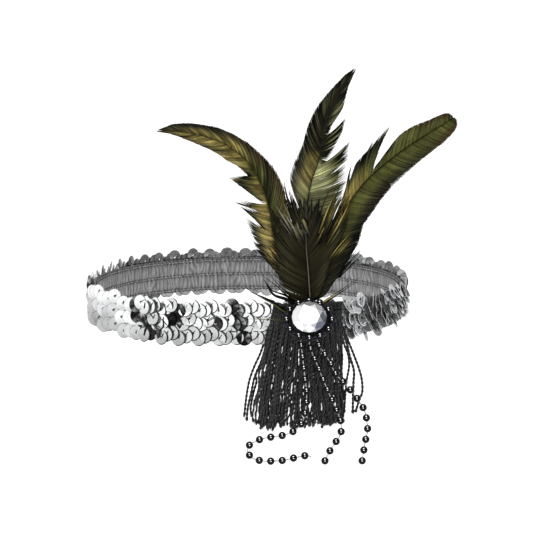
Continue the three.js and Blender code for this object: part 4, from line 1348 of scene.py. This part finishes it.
def make_bead_ring():
    turn = np.linspace(0, 2 * math.pi, 721)
    distance = BACKING_THICKNESS + CLEARANCE + BEAD_DIAMETER / 2
    line = (
        MEDALLION
        + MEDALLION_NORMAL * distance
        + np.sin(turn)[:, None] * MEDALLION_RIGHT * RING_WIDTH / 2
        + np.cos(turn)[:, None] * MEDALLION_UP * RING_HEIGHT / 2
    )
    length = travelled(line)[-1]
    at = np.arange(RING_BEADS) / RING_BEADS * length
    centers = along(line, at)
    directions = unit(along(line, (at + 0.2) % length) - along(line, (at - 0.2) % length))
    pile = Pile()
    add_beads(pile, centers, directions)
    ring = pile.make("ring_beads", bead_material, ["bead_ring"])
    thread = Pile()
    steps = 96
    loop = along(line, np.arange(steps) / steps * length)
    ahead = unit(np.roll(loop, -1, 0) - np.roll(loop, 1, 0))
    outwards = np.cross(ahead, MEDALLION_NORMAL)
    around = np.arange(6) / 6 * 2 * math.pi
    skin = loop[:, None] + THREAD_DIAMETER / 2 * (
        np.cos(around)[None, :, None] * outwards[:, None]
        + np.sin(around)[None, :, None] * MEDALLION_NORMAL
    )
    thread.add(skin, ring_faces(steps, 6), [], colour(44, 48, 74))
    thread.make("ring_thread", thread_material, ["bead_ring"])
    return ring


# Chosen points of the strings, [x, z], where each leaves the backing's rim, how many beads it has,
# how far down the first one sits and how much bare thread follows the last
STRINGS = {
    "left": (
        -4.4, 19, 2.6, 3.4,
        [(28.3, -14.3), (29.6, -26.2), (30.6, -36.0), (28.6, -49.2), (25.0, -53.8), (19.1, -56.6),
         (12.2, -57.7), (5.3, -59.4), (-0.2, -63.5), (1.8, -68.3), (7.3, -70.3), (13.3, -70.4),
         (18.8, -70.0), (24.4, -68.7), (29.8, -67.6), (33.0, -68.0)],
    ),
    "middle": (
        0.0, 12, 3.6, 0.0,
        [(32.5, -10.9), (36.8, -21.6), (41.4, -33.0), (46.4, -44.3), (48.4, -50.6), (48.2, -56.0),
         (45.6, -60.5), (42.5, -65.3), (40.1, -70.3)],
    ),
    "right": (
        4.4, 13, 2.6, 0.0,
        [(37.0, -9.6), (42.8, -18.6), (45.2, -23.8), (53.1, -32.8), (60.1, -42.9), (61.7, -48.9),
         (62.1, -54.4), (61.0, -60.0), (59.4, -70.3)],
    ),
}


def make_string(name, leaves, count, first_bead, end_thread, points):
    node = "bead_strand_" + name
    low, high = from_frame(node)
    plane = (low[1] + high[1]) / 2
    reach = BACKING_HEIGHT / 2 * math.sqrt(1 - (2 * leaves / BACKING_WIDTH) ** 2)
    top = MEDALLION[2] - reach * math.cos(MEDALLION_LEAN) - CLEARANCE
    route = [(MEDALLION[0] + leaves, top), *points]
    line = smooth_curve([(x, plane, z) for x, z in route])
    length = travelled(line)[-1]
    at = first_bead + (length - first_bead - end_thread) * np.arange(count) / (count - 1)
    centers = along(line, at)
    directions = unit(along(line, at + 0.2) - along(line, at - 0.2))
    pile = Pile()
    add_beads(pile, centers, directions)
    beads = pile.make("string_beads_" + name, bead_material, [node])
    steps = 150
    end = length if end_thread else length - BEAD_DIAMETER * 0.2
    path = along(line, np.linspace(0, end, steps))
    draw = np.random.default_rng(300 + count)
    radius = THREAD_DIAMETER / 2 * (1 + 0.12 * draw.normal(0, 1, steps))
    section = round_section(radius, 7, np.arange(steps) * 0.8, 2, 0.12)
    shade = np.broadcast_to(colour(158, 160, 164), (1, steps, 3))
    thread = Pile()
    thread.add(*tubes(path[None], section[None], (0, -1, 0)), tube_tints(shade, 7))
    thread.make("string_thread_" + name, thread_material, [node])
    return beads


bead_material = bead_finish()
thread_material = cord_finish("light_thread", 0.55)
glossy_beads = [make_bead_ring()]
for name, string in STRINGS.items():
    glossy_beads.append(make_string(name, *string))
make_light("glint_high", (-0.1, -0.75, 1.05), 0.8, 300.0, glossy_beads)
make_light("glint_low", (0.06, -0.52, -0.075), 0.26, 34.0, glossy_beads)


# Carried-over nodes


def dress(node, material):
    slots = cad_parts[node].data.materials
    slots.clear()
    slots.append(material)


dress("medallion_backing", felt_finish())
dress("rhinestone", stone_finish())
make_light("glint_stone", (0.03, -1.3, 0.95), 0.5, 0.7, [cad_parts["rhinestone"]])
